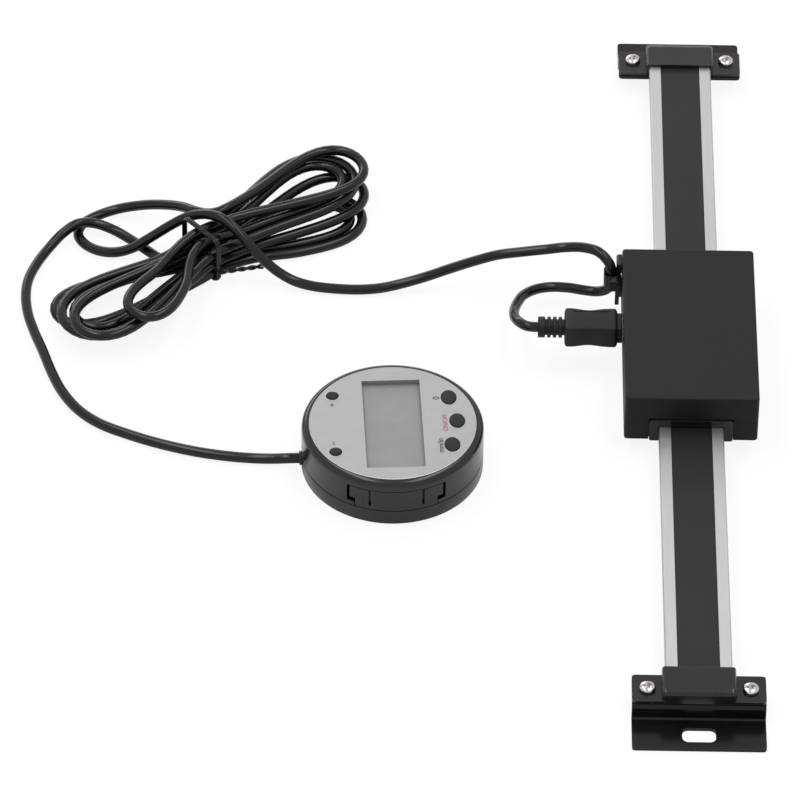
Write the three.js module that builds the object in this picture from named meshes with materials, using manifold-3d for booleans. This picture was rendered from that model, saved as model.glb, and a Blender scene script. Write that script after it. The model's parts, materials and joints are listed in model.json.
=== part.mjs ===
// A digital linear scale: a measuring beam on two feet, a reader head that slides along it,
// and a round remote display on a long thin cable, part of which is tied up in a hank.
// Millimetres, +Z up, +Y along the beam, +X to the right of it.
// The origin is under the middle of everything but the cable, on the surface it all stands on.
import * as THREE from "three";
import { mergeVertices } from "three/addons/utils/BufferGeometryUtils.js";
import Module from "manifold-3d";

const wasm = await Module();
wasm.setup();

// Fits that every sub-part shares
const seat = 0.05; // between pieces that are bolted or bonded face to face
const clearance = 0.3; // between a piece and the one that it is cut for
const runningGap = 0.2; // round a key in its hole
const overrun = 2; // how far a cutting tool reaches past what it cuts
const turn = 2 * Math.PI;

// Facets of round forms
const wideFacets = 64;
const midFacets = 24;
const smallFacets = 12;
const bendFacets = 3;

// Beam
const beamLength = 326;
const beamWidth = 21.4;
const beamHeight = 4.3;
const beamBottom = 7;
const beamEdgeChamfer = 0.35;
const stripWidth = 13.4;
const stripThickness = 0.5;
const stripRecess = 0.3; // how far the strip's face lies below the beam's edges
const stripEndMargin = 1.5;
const beamTop = beamBottom + beamHeight;

// End brackets, folded from sheet, and the clamps over the beam's ends
const footSheet = 1.2;
const footWidth = 42.6;
const footReach = 13.4; // from the web outwards
const flangeReach = 12.5; // from the web inwards, under the beam
const foldInside = 0.8;
const plateCorner = 1.2;
const slotLength = 10.7;
const slotWidth = 6.1;
const slotFromWeb = 7.25;
const clampSheet = 1;
const clampLift = 0.5; // gap that the screws close between the clamp's ears and the bracket
const clampBeamGap = 0.1;
const clampEndWall = 0.3; // from the web's outer face to the clamp's end wall
const clampLength = 12.3;
const clampFold = 1;
const screwTowardsBeam = 0.2; // from the middle of the clamp's ear
const screwFromWeb = 5.8;
const screwShank = 2.6;
const screwHead = 5.2;
const screwHeadHeight = 1.9;
const screwSlot = 0.7;
const screwSlotDepth = 0.9;
const beamEndGap = 0.15; // between the beam's end and the clamp's end wall
const clampHatWidth = beamWidth + 2 * (clampBeamGap + clampSheet);
const screwPlace = (clampHatWidth + footWidth) / 4 - screwTowardsBeam;
const webPlace = beamLength / 2 + beamEndGap + clampSheet + clampEndWall;

// Reader head
const readerWidth = 44.2;
const readerLength = 76;
const readerBottom = 5.35;
const readerSeam = 13.2;
const readerTop = 23.5;
const readerEdge = 0.5;
const readerCorner = 0.75;
const readerWall = 2;
const readerRest = 0.95; // how far the head stands past the beam's middle
const channelGap = 0.35; // between the beam and the sides of the base's channel
const guideWidth = 27.7;
const guideTop = 14.2;
const guideDepth = 1.4;
const guideProud = 0.5;
const guideGap = 0.25;
const guideCorner = 0.8;
const boardSideMargin = 4.1; // from the head's sides
const boardEndMargin = 11;
const boardWidth = readerWidth - 2 * boardSideMargin;
const boardLength = readerLength - 2 * boardEndMargin;
const boardThickness = 1.6;
const boardBottom = 11.9;
const chipWidth = 10;
const chipHeight = 1.4;
const chipPlace = -12;
const readerScrewMargin = 6.5; // from the head's ends
const readerScrewX = (beamWidth / 2 + channelGap + readerWidth / 2) / 2;
const readerScrewY = readerLength / 2 - readerScrewMargin;
const readerScrewShank = 2.2;
const readerScrewHead = 4.2;
const readerScrewHeadHeight = 1.4;
const readerScrewLength = 12;
const readerBoss = 6;
const gibThickness = 0.4;
const gibLength = 38;
const gibBow = 0.9;
const gibHeight = 3.4;
const gibPocket = 1.6;

// Socket in the reader's left side, and the plug that fits it
const socketWidth = 7.7;
const socketHeight = 3.9;
const socketLength = 9.2;
const socketRecess = 0.5;
const socketPlace = 6.2; // from the reader's middle, towards the rear
const socketCavityWidth = 7.3;
const socketCavityHeight = 3.5;
const socketCavityDepth = 6.3;
const plugShellWidth = 6.8;
const plugShellHeight = 3;
const plugShellLength = 6.5;
const plugShellSheet = 0.4;
const plugShellDepth = 5.4;
const plugNeckWidth = 8.7;
const plugNeckHeight = 6.6;
const plugNeckLength = 1.6;
const plugLength = 17.7;
const plugWidth = 11.1;
const plugHeight = 8.4;
const plugWaist = 0.5;
const plugEdge = 0.8;
const plugCorner = 1.4;
const reliefLength = 8.8;
const reliefCore = 5.4;
const reliefRib = 7.1;
const reliefRibs = 4;
const reliefEndRib = 2.4;
const reliefRibWidth = 1.2;
const socketHeightPlace = boardBottom + boardThickness + socketHeight / 2;

// Cable anchor and tie on the reader's left side, near the rear
const anchorProud = 1.9;
const anchorDepth = 5.4;
const anchorBottom = 7;
const anchorTop = 21.5;
const anchorFromRear = 0.65;
const anchorChamfer = 0.6;
const anchorNeckDepth = 2.4;
const anchorNeckSetback = 0.7;
const anchorBridge = 0.9;
const tieBottom = 13;
const tieHeight = 4.3;
const tieSheet = 0.5;
const tieSlack = 0.25;
const tieCorner = 0.6;
const tieLockDepth = 2.6;
const tieLockWidth = 3.6;
const tieTailWidth = 1.4;
const tieTailDepth = 0.8;
const tieTailDrop = 6.6;

// Remote display
const displayX = -98.5; // from the beam's middle
const displayY = -44.7;
const displayTurn = 3.45; // degrees
const displayRadius = 30;
const displayTop = 18.1;
const displaySeam = 5.75;
const seamGap = 0.3;
const displayWall = 2.1;
const shoulderRadius = 2.4;
const rimWidth = 2.3; // from the outer wall to the face plate's recess
const plateDepth = 0.85;
const plateThickness = 0.75;
const plateGap = 0.1;
const ceilingThickness = 1.5;
const backFloor = 2;
const backChamfer = 0.6;
const windowWidth = 19.2;
const windowLength = 42.8;
const windowShiftX = 0.2;
const windowShiftY = -0.5;
const lensLap = 0.6; // how far the lens reaches past the window on each side
const lensThickness = 1.1;
const panelLap = 1.4;
const panelThickness = 1.5;
const holderWall = 2;
const displayBoardRadius = 26.3;
const displayBoardThickness = 1;
const displayBoardBottom = 11.7;
const largeKeyWidth = 4.9;
const largeKeyLength = 6.9;
const smallKeyDiameter = 3.9;
const keyProud = 0.55;
const keyDome = 0.5;
const keyFlange = 0.6; // past the cap, all round
const keyFlangeThickness = 0.4;
const keyTravel = 0.5;
const keyFloatGap = 0.1; // between a pressed key and its switch
const switchWidth = 3.6;
const switchPlunger = 1.8;
const switchPlungerHeight = 0.5;
const largeKeyX = 19;
const largeKeyY = 11.6;
const powerKeyX = 21.2;
const smallKeyX = -19.3;
const smallKeyY = 13.8;
const cellDiameter = 20;
const cellThickness = 3.2;
const cellRimStep = 1.4;
const cellGap = 0.25;
const drawerBottom = 6.1;
const drawerTop = 14.1;
const drawerTrayWidth = 23;
const drawerTrayFloor = 1.2;
const drawerTrayHeight = 4.6;
const drawerTrayRear = -6.5;
const drawerTrayWall = 0.55;
const drawerHalfAngle = 29.7; // degrees
const drawerEndGap = 2.9; // degrees
const drawerSlotAngle = 17;
const drawerSlotWidth = 0.85;
const drawerSlotDepth = 1.2;
const drawerFootAngle = 26.7; // where the face's lower corners are cut back to
const drawerFootHeight = 1.8;
const sillHeight = 1.6; // of the case's ledges under those corners, above the seam
const sillAngle = 27.3;
const runnerWidth = 2;
const runnerPlace = 8;
const runnerLength = 17;
const contactWidth = 5;
const contactSheet = 0.5;
const contactLength = 10;
const magnetDiameter = 10;
const magnetThickness = 1.35;
const magnetX = 13;
const magnetY = 9;
const bossRing = 23.5;
const bossDiameter = 4.8;
const bossJoint = 7;
const caseScrewShank = 2;
const caseScrewHead = 4.2;
const caseScrewHeadHeight = 1.2;
const caseScrewLength = 11;
const caseScrewSink = 0.3;
const pilotGap = 0.25;
const rightBossAngle = 50; // degrees
const leftBossAngle = 128; // degrees
const grommetHeight = 3.4;
const grommetBody = 4.4;
const grommetLip = 5.2;
const grommetLipThickness = 0.7;
const grommetInside = 3;

// Cable
const cableDiameter = 3.5;
const cableSides = 8;
const cordJoint = 0.3; // where two lengths of cable, or a cable and what holds it, meet
const floorGap = 0.02;
const cableX = -(readerWidth / 2 + anchorProud + cableDiameter / 2); // where the tie holds it
const cableY = readerRest + readerLength / 2 - anchorFromRear - anchorDepth + cableDiameter / 4;

// Hank
const hankX = -161;
const hankY = 54;
const hankAngle = 42; // degrees, from +X
const hankWaist = 1.05; // from the hank's middle to its innermost run
const hankStep = 4.25; // between one loop and the next, sideways
const hankLayer = 4.05; // between one layer and the next
const hankLayers = 4;
const turnsPerLayer = 1.5;
const hankClimb = 0.1; // turns in which it climbs to the next layer
const hankStepsPerTurn = 24;
const hankSides = 6;
const hankLift = 1.45; // room for the wire tie beneath the waist
const hankLiftLength = 9;
const hankFanStart = 28;
// The end loops of each layer: how far they reach, how wide they open, and the degrees that
// they lean to the left
const upperReaches = [52, 59, 56.5, 61];
const upperWidths = [17, 18, 19.6, 25];
const upperLeans = [-11, -4, 2, -6];
const lowerReaches = [56, 56, 59, 47];
const lowerWidths = [15, 18.5, 18, 16];
const lowerLeans = [-13, -2, 5, 19];
const hankEndTurns = 5.45; // where the cable leaves the hank
const lastLoopTurns = 5; // where the last loop starts, which comes back on the left side
const wireTiePlace = -4;
const wireTieThickness = 0.85;
const wireTieWidth = 2;
const wireTieSlack = 0.55;
const wireTieCorner = 2;
const wireTailDiameter = 1.8;
const wireTailLength = 15;
const wireTailHeight = 5;

const finishes = {
  castMetal: { color: 0xc9cacb, roughness: 0.35, metalness: 0.85 },
  blackStrip: { color: 0x191a1b, roughness: 0.5, metalness: 0 },
  blackSheet: { color: 0x2e2f30, roughness: 0.5, metalness: 0.3 },
  brightScrew: { color: 0xd8d8d8, roughness: 0.2, metalness: 1 },
  darkPlastic: { color: 0x37383a, roughness: 0.6, metalness: 0 },
  blackPlastic: { color: 0x1f2021, roughness: 0.5, metalness: 0 },
  silverPlate: { color: 0xbfc0c0, roughness: 0.4, metalness: 0.5 },
  clearLens: { color: 0xe6e8e4, roughness: 0.1, metalness: 0 },
  liquidCrystal: { color: 0x9d9d97, roughness: 0.3, metalness: 0 },
  circuitBoard: { color: 0x1e5a38, roughness: 0.6, metalness: 0 },
  whitePlastic: { color: 0xdedcd4, roughness: 0.6, metalness: 0 },
  springSteel: { color: 0xa9abad, roughness: 0.3, metalness: 1 },
  cableJacket: { color: 0x1c1c1d, roughness: 0.4, metalness: 0 },
};

// A closed geometry as a solid that can be joined and cut.
function solid(geometry) {
  const bare = new THREE.BufferGeometry();
  bare.setAttribute("position", geometry.getAttribute("position"));
  if (geometry.index) bare.setIndex(geometry.index);
  const merged = mergeVertices(bare);
  return new wasm.Manifold(
    new wasm.Mesh({
      numProp: 3,
      vertProperties: merged.attributes.position.array,
      triVerts: new Uint32Array(merged.index.array),
    }),
  );
}

function piece(name, shape, finish) {
  const made = shape.getMesh();
  const geometry = new THREE.BufferGeometry();
  geometry.setAttribute("position", new THREE.BufferAttribute(made.vertProperties, 3));
  geometry.setIndex(new THREE.BufferAttribute(made.triVerts, 1));
  geometry.computeVertexNormals();
  const mesh = new THREE.Mesh(geometry, new THREE.MeshStandardMaterial(finishes[finish]));
  mesh.name = name;
  return mesh;
}

const radians = THREE.MathUtils.degToRad;
const joinAll = (shapes) => shapes.reduce((whole, shape) => whole.add(shape));
const cutAll = (shape, cutters) => cutters.reduce((left, cutter) => left.subtract(cutter), shape);

// A box between two levels on each axis.
function block([x0, x1], [y0, y1], [z0, z1]) {
  const geometry = new THREE.BoxGeometry(x1 - x0, y1 - y0, z1 - z0);
  geometry.translate((x0 + x1) / 2, (y0 + y1) / 2, (z0 + z1) / 2);
  return solid(geometry);
}

const about = (middle, size) => [middle - size / 2, middle + size / 2];

// An outline drawn in X and Y, raised from one level to another.
function slab(outline, [z0, z1], facets = bendFacets) {
  const geometry = new THREE.ExtrudeGeometry(outline, {
    depth: z1 - z0,
    bevelEnabled: false,
    curveSegments: facets,
  });
  geometry.translate(0, 0, z0);
  return solid(geometry);
}

// A section drawn in Y and Z, drawn out along X.
function barAlongX(section, [x0, x1]) {
  const geometry = new THREE.ExtrudeGeometry(section, {
    depth: x1 - x0,
    bevelEnabled: false,
    curveSegments: bendFacets,
  });
  geometry.translate(0, 0, x0);
  // The section's X becomes Y, its Y becomes Z, and its depth becomes X.
  const turned = new THREE.Matrix4().set(0, 0, 1, 0, 1, 0, 0, 0, 0, 1, 0, 0, 0, 0, 0, 1);
  return solid(geometry.applyMatrix4(turned));
}

// A section drawn in X and Z, drawn out along Y.
function barAlongY(section, [y0, y1]) {
  const geometry = new THREE.ExtrudeGeometry(section, {
    depth: y1 - y0,
    bevelEnabled: false,
    curveSegments: bendFacets,
  });
  geometry.rotateX(Math.PI / 2);
  geometry.translate(0, y1, 0);
  return solid(geometry);
}

function roundedRectangle(width, length, corner) {
  const [x, y] = [width / 2, length / 2];
  const outline = new THREE.Shape();
  outline.moveTo(x, y - corner);
  outline.absarc(x - corner, y - corner, corner, 0, turn / 4);
  outline.absarc(corner - x, y - corner, corner, turn / 4, turn / 2);
  outline.absarc(corner - x, corner - y, corner, turn / 2, (turn * 3) / 4);
  outline.absarc(x - corner, corner - y, corner, (turn * 3) / 4, turn);
  return outline;
}

// A box with rounded edges all round, between two levels.
function softBox(width, length, [z0, z1], corner, edge) {
  const outline = roundedRectangle(width - 2 * edge, length - 2 * edge, corner);
  const geometry = new THREE.ExtrudeGeometry(outline, {
    depth: z1 - z0 - 2 * edge,
    bevelEnabled: true,
    bevelThickness: edge,
    bevelSize: edge,
    bevelSegments: 3,
    curveSegments: 3,
  });
  geometry.translate(0, 0, z0 + edge);
  return solid(geometry);
}

function post(diameter, [z0, z1], x = 0, y = 0, facets = smallFacets) {
  const geometry = new THREE.CylinderGeometry(diameter / 2, diameter / 2, z1 - z0, facets);
  geometry.rotateX(Math.PI / 2);
  geometry.translate(x, y, (z0 + z1) / 2);
  return solid(geometry);
}

// A profile of radius and height pairs, turned about the Z axis.
function turned(profile, facets = midFacets) {
  const points = profile.map(([radius, height]) => new THREE.Vector2(radius, height));
  const geometry = new THREE.LatheGeometry(points, facets);
  geometry.rotateX(Math.PI / 2);
  return solid(geometry);
}

// Points round part of a circle in a profile, ends included.
function arc(cx, cy, radius, from, to, steps = bendFacets) {
  return Array.from({ length: steps + 1 }, (_, i) => {
    const angle = from + ((to - from) * i) / steps;
    return [cx + radius * Math.cos(angle), cy + radius * Math.sin(angle)];
  });
}

// A screw along Z with its head up, its head's seat at zero.
function panScrew(shank, length, head, headHeight, slot, slotDepth) {
  const dome = arc(0, 0, 1, 0, turn / 4).map(([across, up]) => [
    (head / 2) * across,
    headHeight * up,
  ]);
  const body = turned([[0, -length], [shank / 2, -length], [shank / 2, 0], ...dome], smallFacets);
  const depth = [headHeight - slotDepth, headHeight + overrun];
  const [long, short] = [about(0, (head * 2) / 3), about(0, slot)];
  return cutAll(body, [block(long, short, depth), block(short, long, depth)]);
}

// Beam and measuring strip

function beam() {
  const [x, channel] = [beamWidth / 2, stripWidth / 2 + seat];
  const floor = beamTop - stripRecess - stripThickness - seat;
  const section = new THREE.Shape();
  section.moveTo(-x + beamEdgeChamfer, beamBottom);
  section.lineTo(x - beamEdgeChamfer, beamBottom);
  section.lineTo(x, beamBottom + beamEdgeChamfer);
  section.lineTo(x, beamTop - beamEdgeChamfer);
  section.lineTo(x - beamEdgeChamfer, beamTop);
  section.lineTo(channel, beamTop);
  section.lineTo(channel, floor);
  section.lineTo(-channel, floor);
  section.lineTo(-channel, beamTop);
  section.lineTo(-x + beamEdgeChamfer, beamTop);
  section.lineTo(-x, beamTop - beamEdgeChamfer);
  section.lineTo(-x, beamBottom + beamEdgeChamfer);
  return piece("beam", barAlongY(section, about(0, beamLength)), "castMetal");
}

function gratingStrip() {
  const top = beamTop - stripRecess;
  const strip = block(
    about(0, stripWidth),
    about(0, beamLength - 2 * stripEndMargin),
    [top - stripThickness, top],
  );
  return piece("grating_strip", strip, "blackStrip");
}

// One end of the scale, drawn as the front end: +Y points at the beam's middle, and y is zero
// at the outer face of the bracket's web.

function bracket(name) {
  const [t, inside, top] = [footSheet, foldInside, beamBottom];
  const outside = inside + t;
  const section = new THREE.Shape();
  section.moveTo(-footReach, 0);
  section.lineTo(t - outside, 0);
  section.absarc(t - outside, outside, outside, -turn / 4, 0);
  section.lineTo(t, top - t - inside);
  section.absarc(t + inside, top - t - inside, inside, turn / 2, turn / 4, true);
  section.lineTo(flangeReach, top - t);
  section.lineTo(flangeReach, top);
  section.lineTo(outside, top);
  section.absarc(outside, top - outside, outside, turn / 4, turn / 2);
  section.lineTo(0, t + inside);
  section.absarc(-inside, t + inside, inside, 0, -turn / 4, true);
  section.lineTo(-footReach, t);
  const plan = slab(
    roundedRectangle(footWidth, footReach + flangeReach, plateCorner),
    [-overrun, top + overrun],
  ).translate([0, (flangeReach - footReach) / 2, 0]);
  const folded = barAlongX(section, about(0, footWidth)).intersect(plan);
  const slot = slab(roundedRectangle(slotLength, slotWidth, slotWidth / 3), [
    -overrun,
    t + overrun,
  ]).translate([0, -slotFromWeb, 0]);
  const holes = [-1, 1].map((side) =>
    post(screwShank + 2 * clearance, [top - t - overrun, top + overrun],
      side * screwPlace, screwFromWeb),
  );
  return piece(name, cutAll(folded, [slot, ...holes]), "blackSheet");
}

function clamp(name) {
  const outsideX = clampHatWidth / 2;
  const insideX = outsideX - clampSheet;
  const [earBottom, top] = [beamBottom + clampLift, beamTop + clampBeamGap + clampSheet];
  const ends = [clampEndWall, clampEndWall + clampLength - clampEndWall];
  const hatSection = new THREE.Shape();
  hatSection.moveTo(-outsideX, earBottom);
  hatSection.lineTo(outsideX, earBottom);
  hatSection.lineTo(outsideX, top - clampFold);
  hatSection.absarc(outsideX - clampFold, top - clampFold, clampFold, 0, turn / 4);
  hatSection.absarc(clampFold - outsideX, top - clampFold, clampFold, turn / 4, turn / 2);
  const side = new THREE.Shape();
  side.moveTo(ends[0], earBottom);
  side.lineTo(ends[1], earBottom);
  side.lineTo(ends[1], top);
  side.lineTo(ends[0] + clampFold, top);
  side.absarc(ends[0] + clampFold, top - clampFold, clampFold, turn / 4, turn / 2);
  const hat = barAlongY(hatSection, ends).intersect(barAlongX(side, about(0, 2 * outsideX)));
  const ears = slab(
    roundedRectangle(footWidth, clampLength - clampEndWall, plateCorner),
    [earBottom, earBottom + clampSheet],
  ).translate([0, (ends[0] + ends[1]) / 2, 0]);
  const hollow = block(
    about(0, 2 * insideX),
    [ends[0] + clampSheet, ends[1] + overrun],
    [earBottom - overrun, beamTop + clampBeamGap],
  );
  const holes = [-1, 1].map((sign) =>
    post(screwShank + 2 * clearance, [earBottom - overrun, earBottom + clampSheet + overrun],
      sign * screwPlace, screwFromWeb),
  );
  return piece(name, cutAll(hat.add(ears), [hollow, ...holes]), "blackSheet");
}

function clampScrew(name, side) {
  const seatLevel = beamBottom + clampLift + clampSheet + seat;
  const reach = clampSheet + clampLift + footSheet + seat;
  const screw = panScrew(
    screwShank, reach, screwHead, screwHeadHeight, screwSlot, screwSlotDepth,
  );
  return piece(
    name,
    screw.translate([side * screwPlace, screwFromWeb, seatLevel]),
    "brightScrew",
  );
}

function scaleEnd(end) {
  const group = new THREE.Group();
  group.add(
    bracket(`${end}_bracket`),
    clamp(`${end}_clamp`),
    clampScrew(`${end}_clamp_screw_left`, end === "front" ? -1 : 1),
    clampScrew(`${end}_clamp_screw_right`, end === "front" ? 1 : -1),
  );
  group.position.y = end === "front" ? -webPlace : webPlace;
  group.rotation.z = end === "front" ? 0 : Math.PI;
  return group;
}

// Reader head, drawn about its own middle

const readerScrewPlaces = [
  [-1, -1],
  [1, -1],
  [1, 1],
  [-1, 1],
].map(([x, y]) => [x * readerScrewX, y * readerScrewY]);

const readerShell = () =>
  softBox(readerWidth, readerLength, [readerBottom, readerTop], readerCorner, readerEdge);

// The recess that a guide is pressed into, cut from both ends of the head.
function guideRecesses() {
  const ends = readerLength / 2;
  const across = about(0, guideWidth + clearance);
  const levels = [readerBottom - overrun, guideTop + clearance / 2];
  const depth = guideDepth + seat;
  return [
    block(across, [-ends - overrun, depth - ends], levels),
    block(across, [ends - depth, ends + overrun], levels),
  ];
}

function readerCover() {
  const outer = readerShell().intersect(
    block(about(0, 2 * readerWidth), about(0, 2 * readerLength), [
      readerSeam + seat / 2,
      readerTop + overrun,
    ]),
  );
  const ceiling = readerTop - readerWall;
  const hollow = block(
    about(0, readerWidth - 2 * readerWall),
    about(0, readerLength - 2 * readerWall),
    [readerSeam - overrun, ceiling],
  );
  const bosses = readerScrewPlaces.map(([x, y]) =>
    post(readerBoss, [readerSeam + clearance, ceiling + seat], x, y),
  );
  const pilots = readerScrewPlaces.map(([x, y]) =>
    post(readerScrewShank + 2 * clearance, [readerSeam, ceiling - clearance], x, y),
  );
  const doorway = block(
    [-readerWidth / 2 - overrun, clearance - readerWidth / 2 + readerWall],
    about(socketPlace, socketWidth + 2 * clearance),
    [readerSeam - overrun, socketHeightPlace + socketHeight / 2 + clearance],
  );
  const shell = joinAll([cutAll(outer, [hollow]), ...bosses]);
  return piece(
    "reader_cover",
    cutAll(shell, [...pilots, doorway, ...guideRecesses()]),
    "darkPlastic",
  );
}

function readerBase() {
  const outer = readerShell().intersect(
    block(about(0, 2 * readerWidth), about(0, 2 * readerLength), [
      readerBottom - overrun,
      readerSeam - seat / 2,
    ]),
  );
  const above = readerSeam + overrun;
  const channelSide = beamWidth / 2 + channelGap;
  const channel = block(about(0, 2 * channelSide), about(0, readerLength + overrun), [
    beamBottom - guideGap,
    above,
  ]);
  const boardSeat = block(
    about(0, boardWidth + 2 * clearance),
    about(0, boardLength + 2 * clearance),
    [boardBottom - seat, above],
  );
  const gibSeat = block(
    [channelSide - overrun, channelSide + gibPocket],
    about(0, gibLength + 2 * clearance),
    [beamBottom, above],
  );
  const screwHoles = readerScrewPlaces.flatMap(([x, y]) => [
    post(readerScrewShank + 2 * clearance, [readerBottom - overrun, above], x, y),
    post(
      readerScrewHead + 2 * clearance,
      [readerBottom - overrun, readerBottom + readerScrewHeadHeight + clearance],
      x,
      y,
    ),
  ]);
  return piece(
    "reader_base",
    cutAll(outer, [channel, boardSeat, gibSeat, ...screwHoles, ...guideRecesses()]),
    "darkPlastic",
  );
}

function guide(name, side) {
  const outer = barAlongY(
    roundedRectangle(guideWidth, guideTop - readerBottom, guideCorner),
    [0, guideDepth + guideProud],
  ).translate([0, 0, (guideTop + readerBottom) / 2]);
  const passage = block(
    about(0, beamWidth + 2 * guideGap),
    [-overrun, guideDepth + guideProud + overrun],
    [beamBottom - guideGap, beamTop + guideGap],
  );
  const place = readerLength / 2 - guideDepth;
  const ring = outer.subtract(passage);
  const placed =
    side > 0
      ? ring.translate([0, place, 0])
      : ring.translate([0, -place - guideDepth - guideProud, 0]);
  return piece(name, placed, "blackPlastic");
}

function readerBoard() {
  const board = block(about(0, boardWidth), about(0, boardLength), [
    boardBottom,
    boardBottom + boardThickness,
  ]);
  const chip = block(about(0, chipWidth), about(chipPlace, chipWidth), [
    boardBottom + boardThickness - seat,
    boardBottom + boardThickness + chipHeight,
  ]);
  return piece("reader_board", board.add(chip), "circuitBoard");
}

function usbSocket() {
  const mouth = socketRecess - readerWidth / 2;
  const shell = block(
    [mouth, mouth + socketLength],
    about(socketPlace, socketWidth),
    about(socketHeightPlace + seat, socketHeight),
  );
  const cavity = block(
    [mouth - overrun, mouth + socketCavityDepth],
    about(socketPlace, socketCavityWidth),
    about(socketHeightPlace + seat, socketCavityHeight),
  );
  return piece("usb_socket", shell.subtract(cavity), "springSteel");
}

// A bowed leaf between the channel's right side and the beam's edge.
function gibSpring() {
  const wall = beamWidth / 2 + channelGap + gibPocket - clearance;
  const half = gibLength / 2;
  const leaf = new THREE.Shape();
  leaf.moveTo(wall, -half);
  leaf.quadraticCurveTo(wall - 2 * gibBow, 0, wall, half);
  leaf.lineTo(wall - gibThickness, half);
  leaf.quadraticCurveTo(wall - gibThickness - 2 * gibBow, 0, wall - gibThickness, -half);
  const levels = about(beamBottom + beamHeight / 2, gibHeight);
  return piece("gib_spring", slab(leaf, levels, 2 * bendFacets), "springSteel");
}

function readerScrews() {
  return readerScrewPlaces.map(([x, y], i) => {
    const screw = panScrew(
      readerScrewShank, readerScrewLength, readerScrewHead, readerScrewHeadHeight,
      screwSlot, screwSlotDepth,
    );
    const upright = screw.rotate([180, 0, 0]);
    const level = readerBottom + readerScrewHeadHeight + clearance - seat;
    return piece(`reader_screw_${i + 1}`, upright.translate([x, y, level]), "brightScrew");
  });
}

const anchorSide = -readerWidth / 2 - seat;
const anchorRear = readerLength / 2 - anchorFromRear;
const anchorFront = anchorRear - anchorDepth;

function cableAnchor() {
  const outer = anchorSide - anchorProud;
  const section = new THREE.Shape();
  section.moveTo(anchorSide, anchorBottom);
  section.lineTo(anchorSide, anchorTop);
  section.lineTo(outer + anchorChamfer, anchorTop);
  section.lineTo(outer, anchorTop - anchorChamfer);
  section.lineTo(outer, anchorBottom + anchorChamfer);
  section.lineTo(outer + anchorChamfer, anchorBottom);
  const bar = barAlongY(section, [anchorFront, anchorRear]);
  const levels = [tieBottom - clearance, tieBottom + tieHeight + clearance];
  const across = [anchorFront - overrun, anchorRear + overrun];
  const behind = block([outer + anchorBridge, anchorSide + overrun], across, levels);
  const sides = [outer - overrun, anchorSide + overrun];
  const neckFront = anchorFront + anchorNeckSetback;
  const front = block(sides, [anchorFront - overrun, neckFront], levels);
  const rear = block(sides, [neckFront + anchorNeckDepth, anchorRear + overrun], levels);
  return piece("cable_anchor", cutAll(bar, [behind, front, rear]), "blackPlastic");
}

// A band round the cable and the anchor's neck, with its lock and its cut tail in front.
function cableTie() {
  const y = cableY - readerRest;
  const left = cableX - cableDiameter / 2 - tieSlack;
  const right = anchorSide - clearance - tieSheet;
  const front = Math.min(y - cableDiameter / 2 - tieSlack, anchorFront + anchorNeckSetback - tieSlack);
  const neckRear = anchorFront + anchorNeckSetback + anchorNeckDepth;
  const rear = Math.max(y + cableDiameter / 2, neckRear) + tieSlack;
  const levels = [tieBottom, tieBottom + tieHeight];
  const ring = (grow) =>
    roundedRectangle(right - left + 2 * grow, rear - front + 2 * grow, tieCorner + grow);
  const band = slab(ring(tieSheet), levels)
    .subtract(slab(ring(0), [tieBottom - overrun, tieBottom + tieHeight + overrun]))
    .translate([(left + right) / 2, (front + rear) / 2, 0]);
  const lockRight = right;
  const lock = block(
    [lockRight - tieLockWidth, lockRight],
    [front - tieSheet - tieLockDepth, front - tieSheet / 2],
    levels,
  );
  const tailY = front - tieSheet - tieLockDepth / 2;
  const tail = block(
    [lockRight - tieTailWidth, lockRight],
    about(tailY, tieTailDepth),
    [tieBottom - tieTailDrop, tieBottom + tieSheet],
  );
  return piece("cable_tie", joinAll([band, lock, tail]), "blackPlastic");
}

function readerHead() {
  const group = new THREE.Group();
  group.add(
    readerCover(),
    readerBase(),
    guide("front_guide", -1),
    guide("rear_guide", 1),
    readerBoard(),
    usbSocket(),
    gibSpring(),
    ...readerScrews(),
    cableAnchor(),
    cableTie(),
  );
  group.position.y = readerRest;
  return group;
}

// Plug, drawn with its axis along +X and its neck's face at x = 0

// The moulded grip: an outline with drawn-in sides, rounded over on every edge.
function plugBody() {
  const [long, half, waist] = [plugLength - 2 * plugEdge, plugWidth / 2 - plugEdge, plugWaist];
  const corner = plugCorner;
  const outline = new THREE.Shape();
  outline.moveTo(0, -half + corner);
  outline.lineTo(0, half - corner);
  outline.quadraticCurveTo(0, half, -corner, half);
  outline.quadraticCurveTo(-long / 2, half - 2 * waist, corner - long, half);
  outline.quadraticCurveTo(-long, half, -long, half - corner);
  outline.lineTo(-long, corner - half);
  outline.quadraticCurveTo(-long, -half, corner - long, -half);
  outline.quadraticCurveTo(-long / 2, 2 * waist - half, -corner, -half);
  outline.quadraticCurveTo(0, -half, 0, corner - half);
  const geometry = new THREE.ExtrudeGeometry(outline, {
    depth: plugHeight - 2 * plugEdge,
    bevelEnabled: true,
    bevelThickness: plugEdge,
    bevelSize: plugEdge,
    bevelSegments: 2,
    curveSegments: bendFacets,
  });
  geometry.translate(-plugNeckLength - plugEdge, 0, plugEdge - plugHeight / 2);
  const neck = block(
    [-plugNeckLength - plugEdge, 0],
    about(0, plugNeckWidth),
    about(0, plugNeckHeight),
  );
  return piece("plug_body", solid(geometry).add(neck), "blackPlastic");
}

function plugShell() {
  const shell = block(
    [seat, plugShellLength],
    about(0, plugShellWidth),
    about(0, plugShellHeight),
  );
  const mouth = block(
    [plugShellLength - plugShellDepth, plugShellLength + overrun],
    about(0, plugShellWidth - 2 * plugShellSheet),
    about(0, plugShellHeight - 2 * plugShellSheet),
  );
  return piece("plug_shell", shell.subtract(mouth), "springSteel");
}

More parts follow.
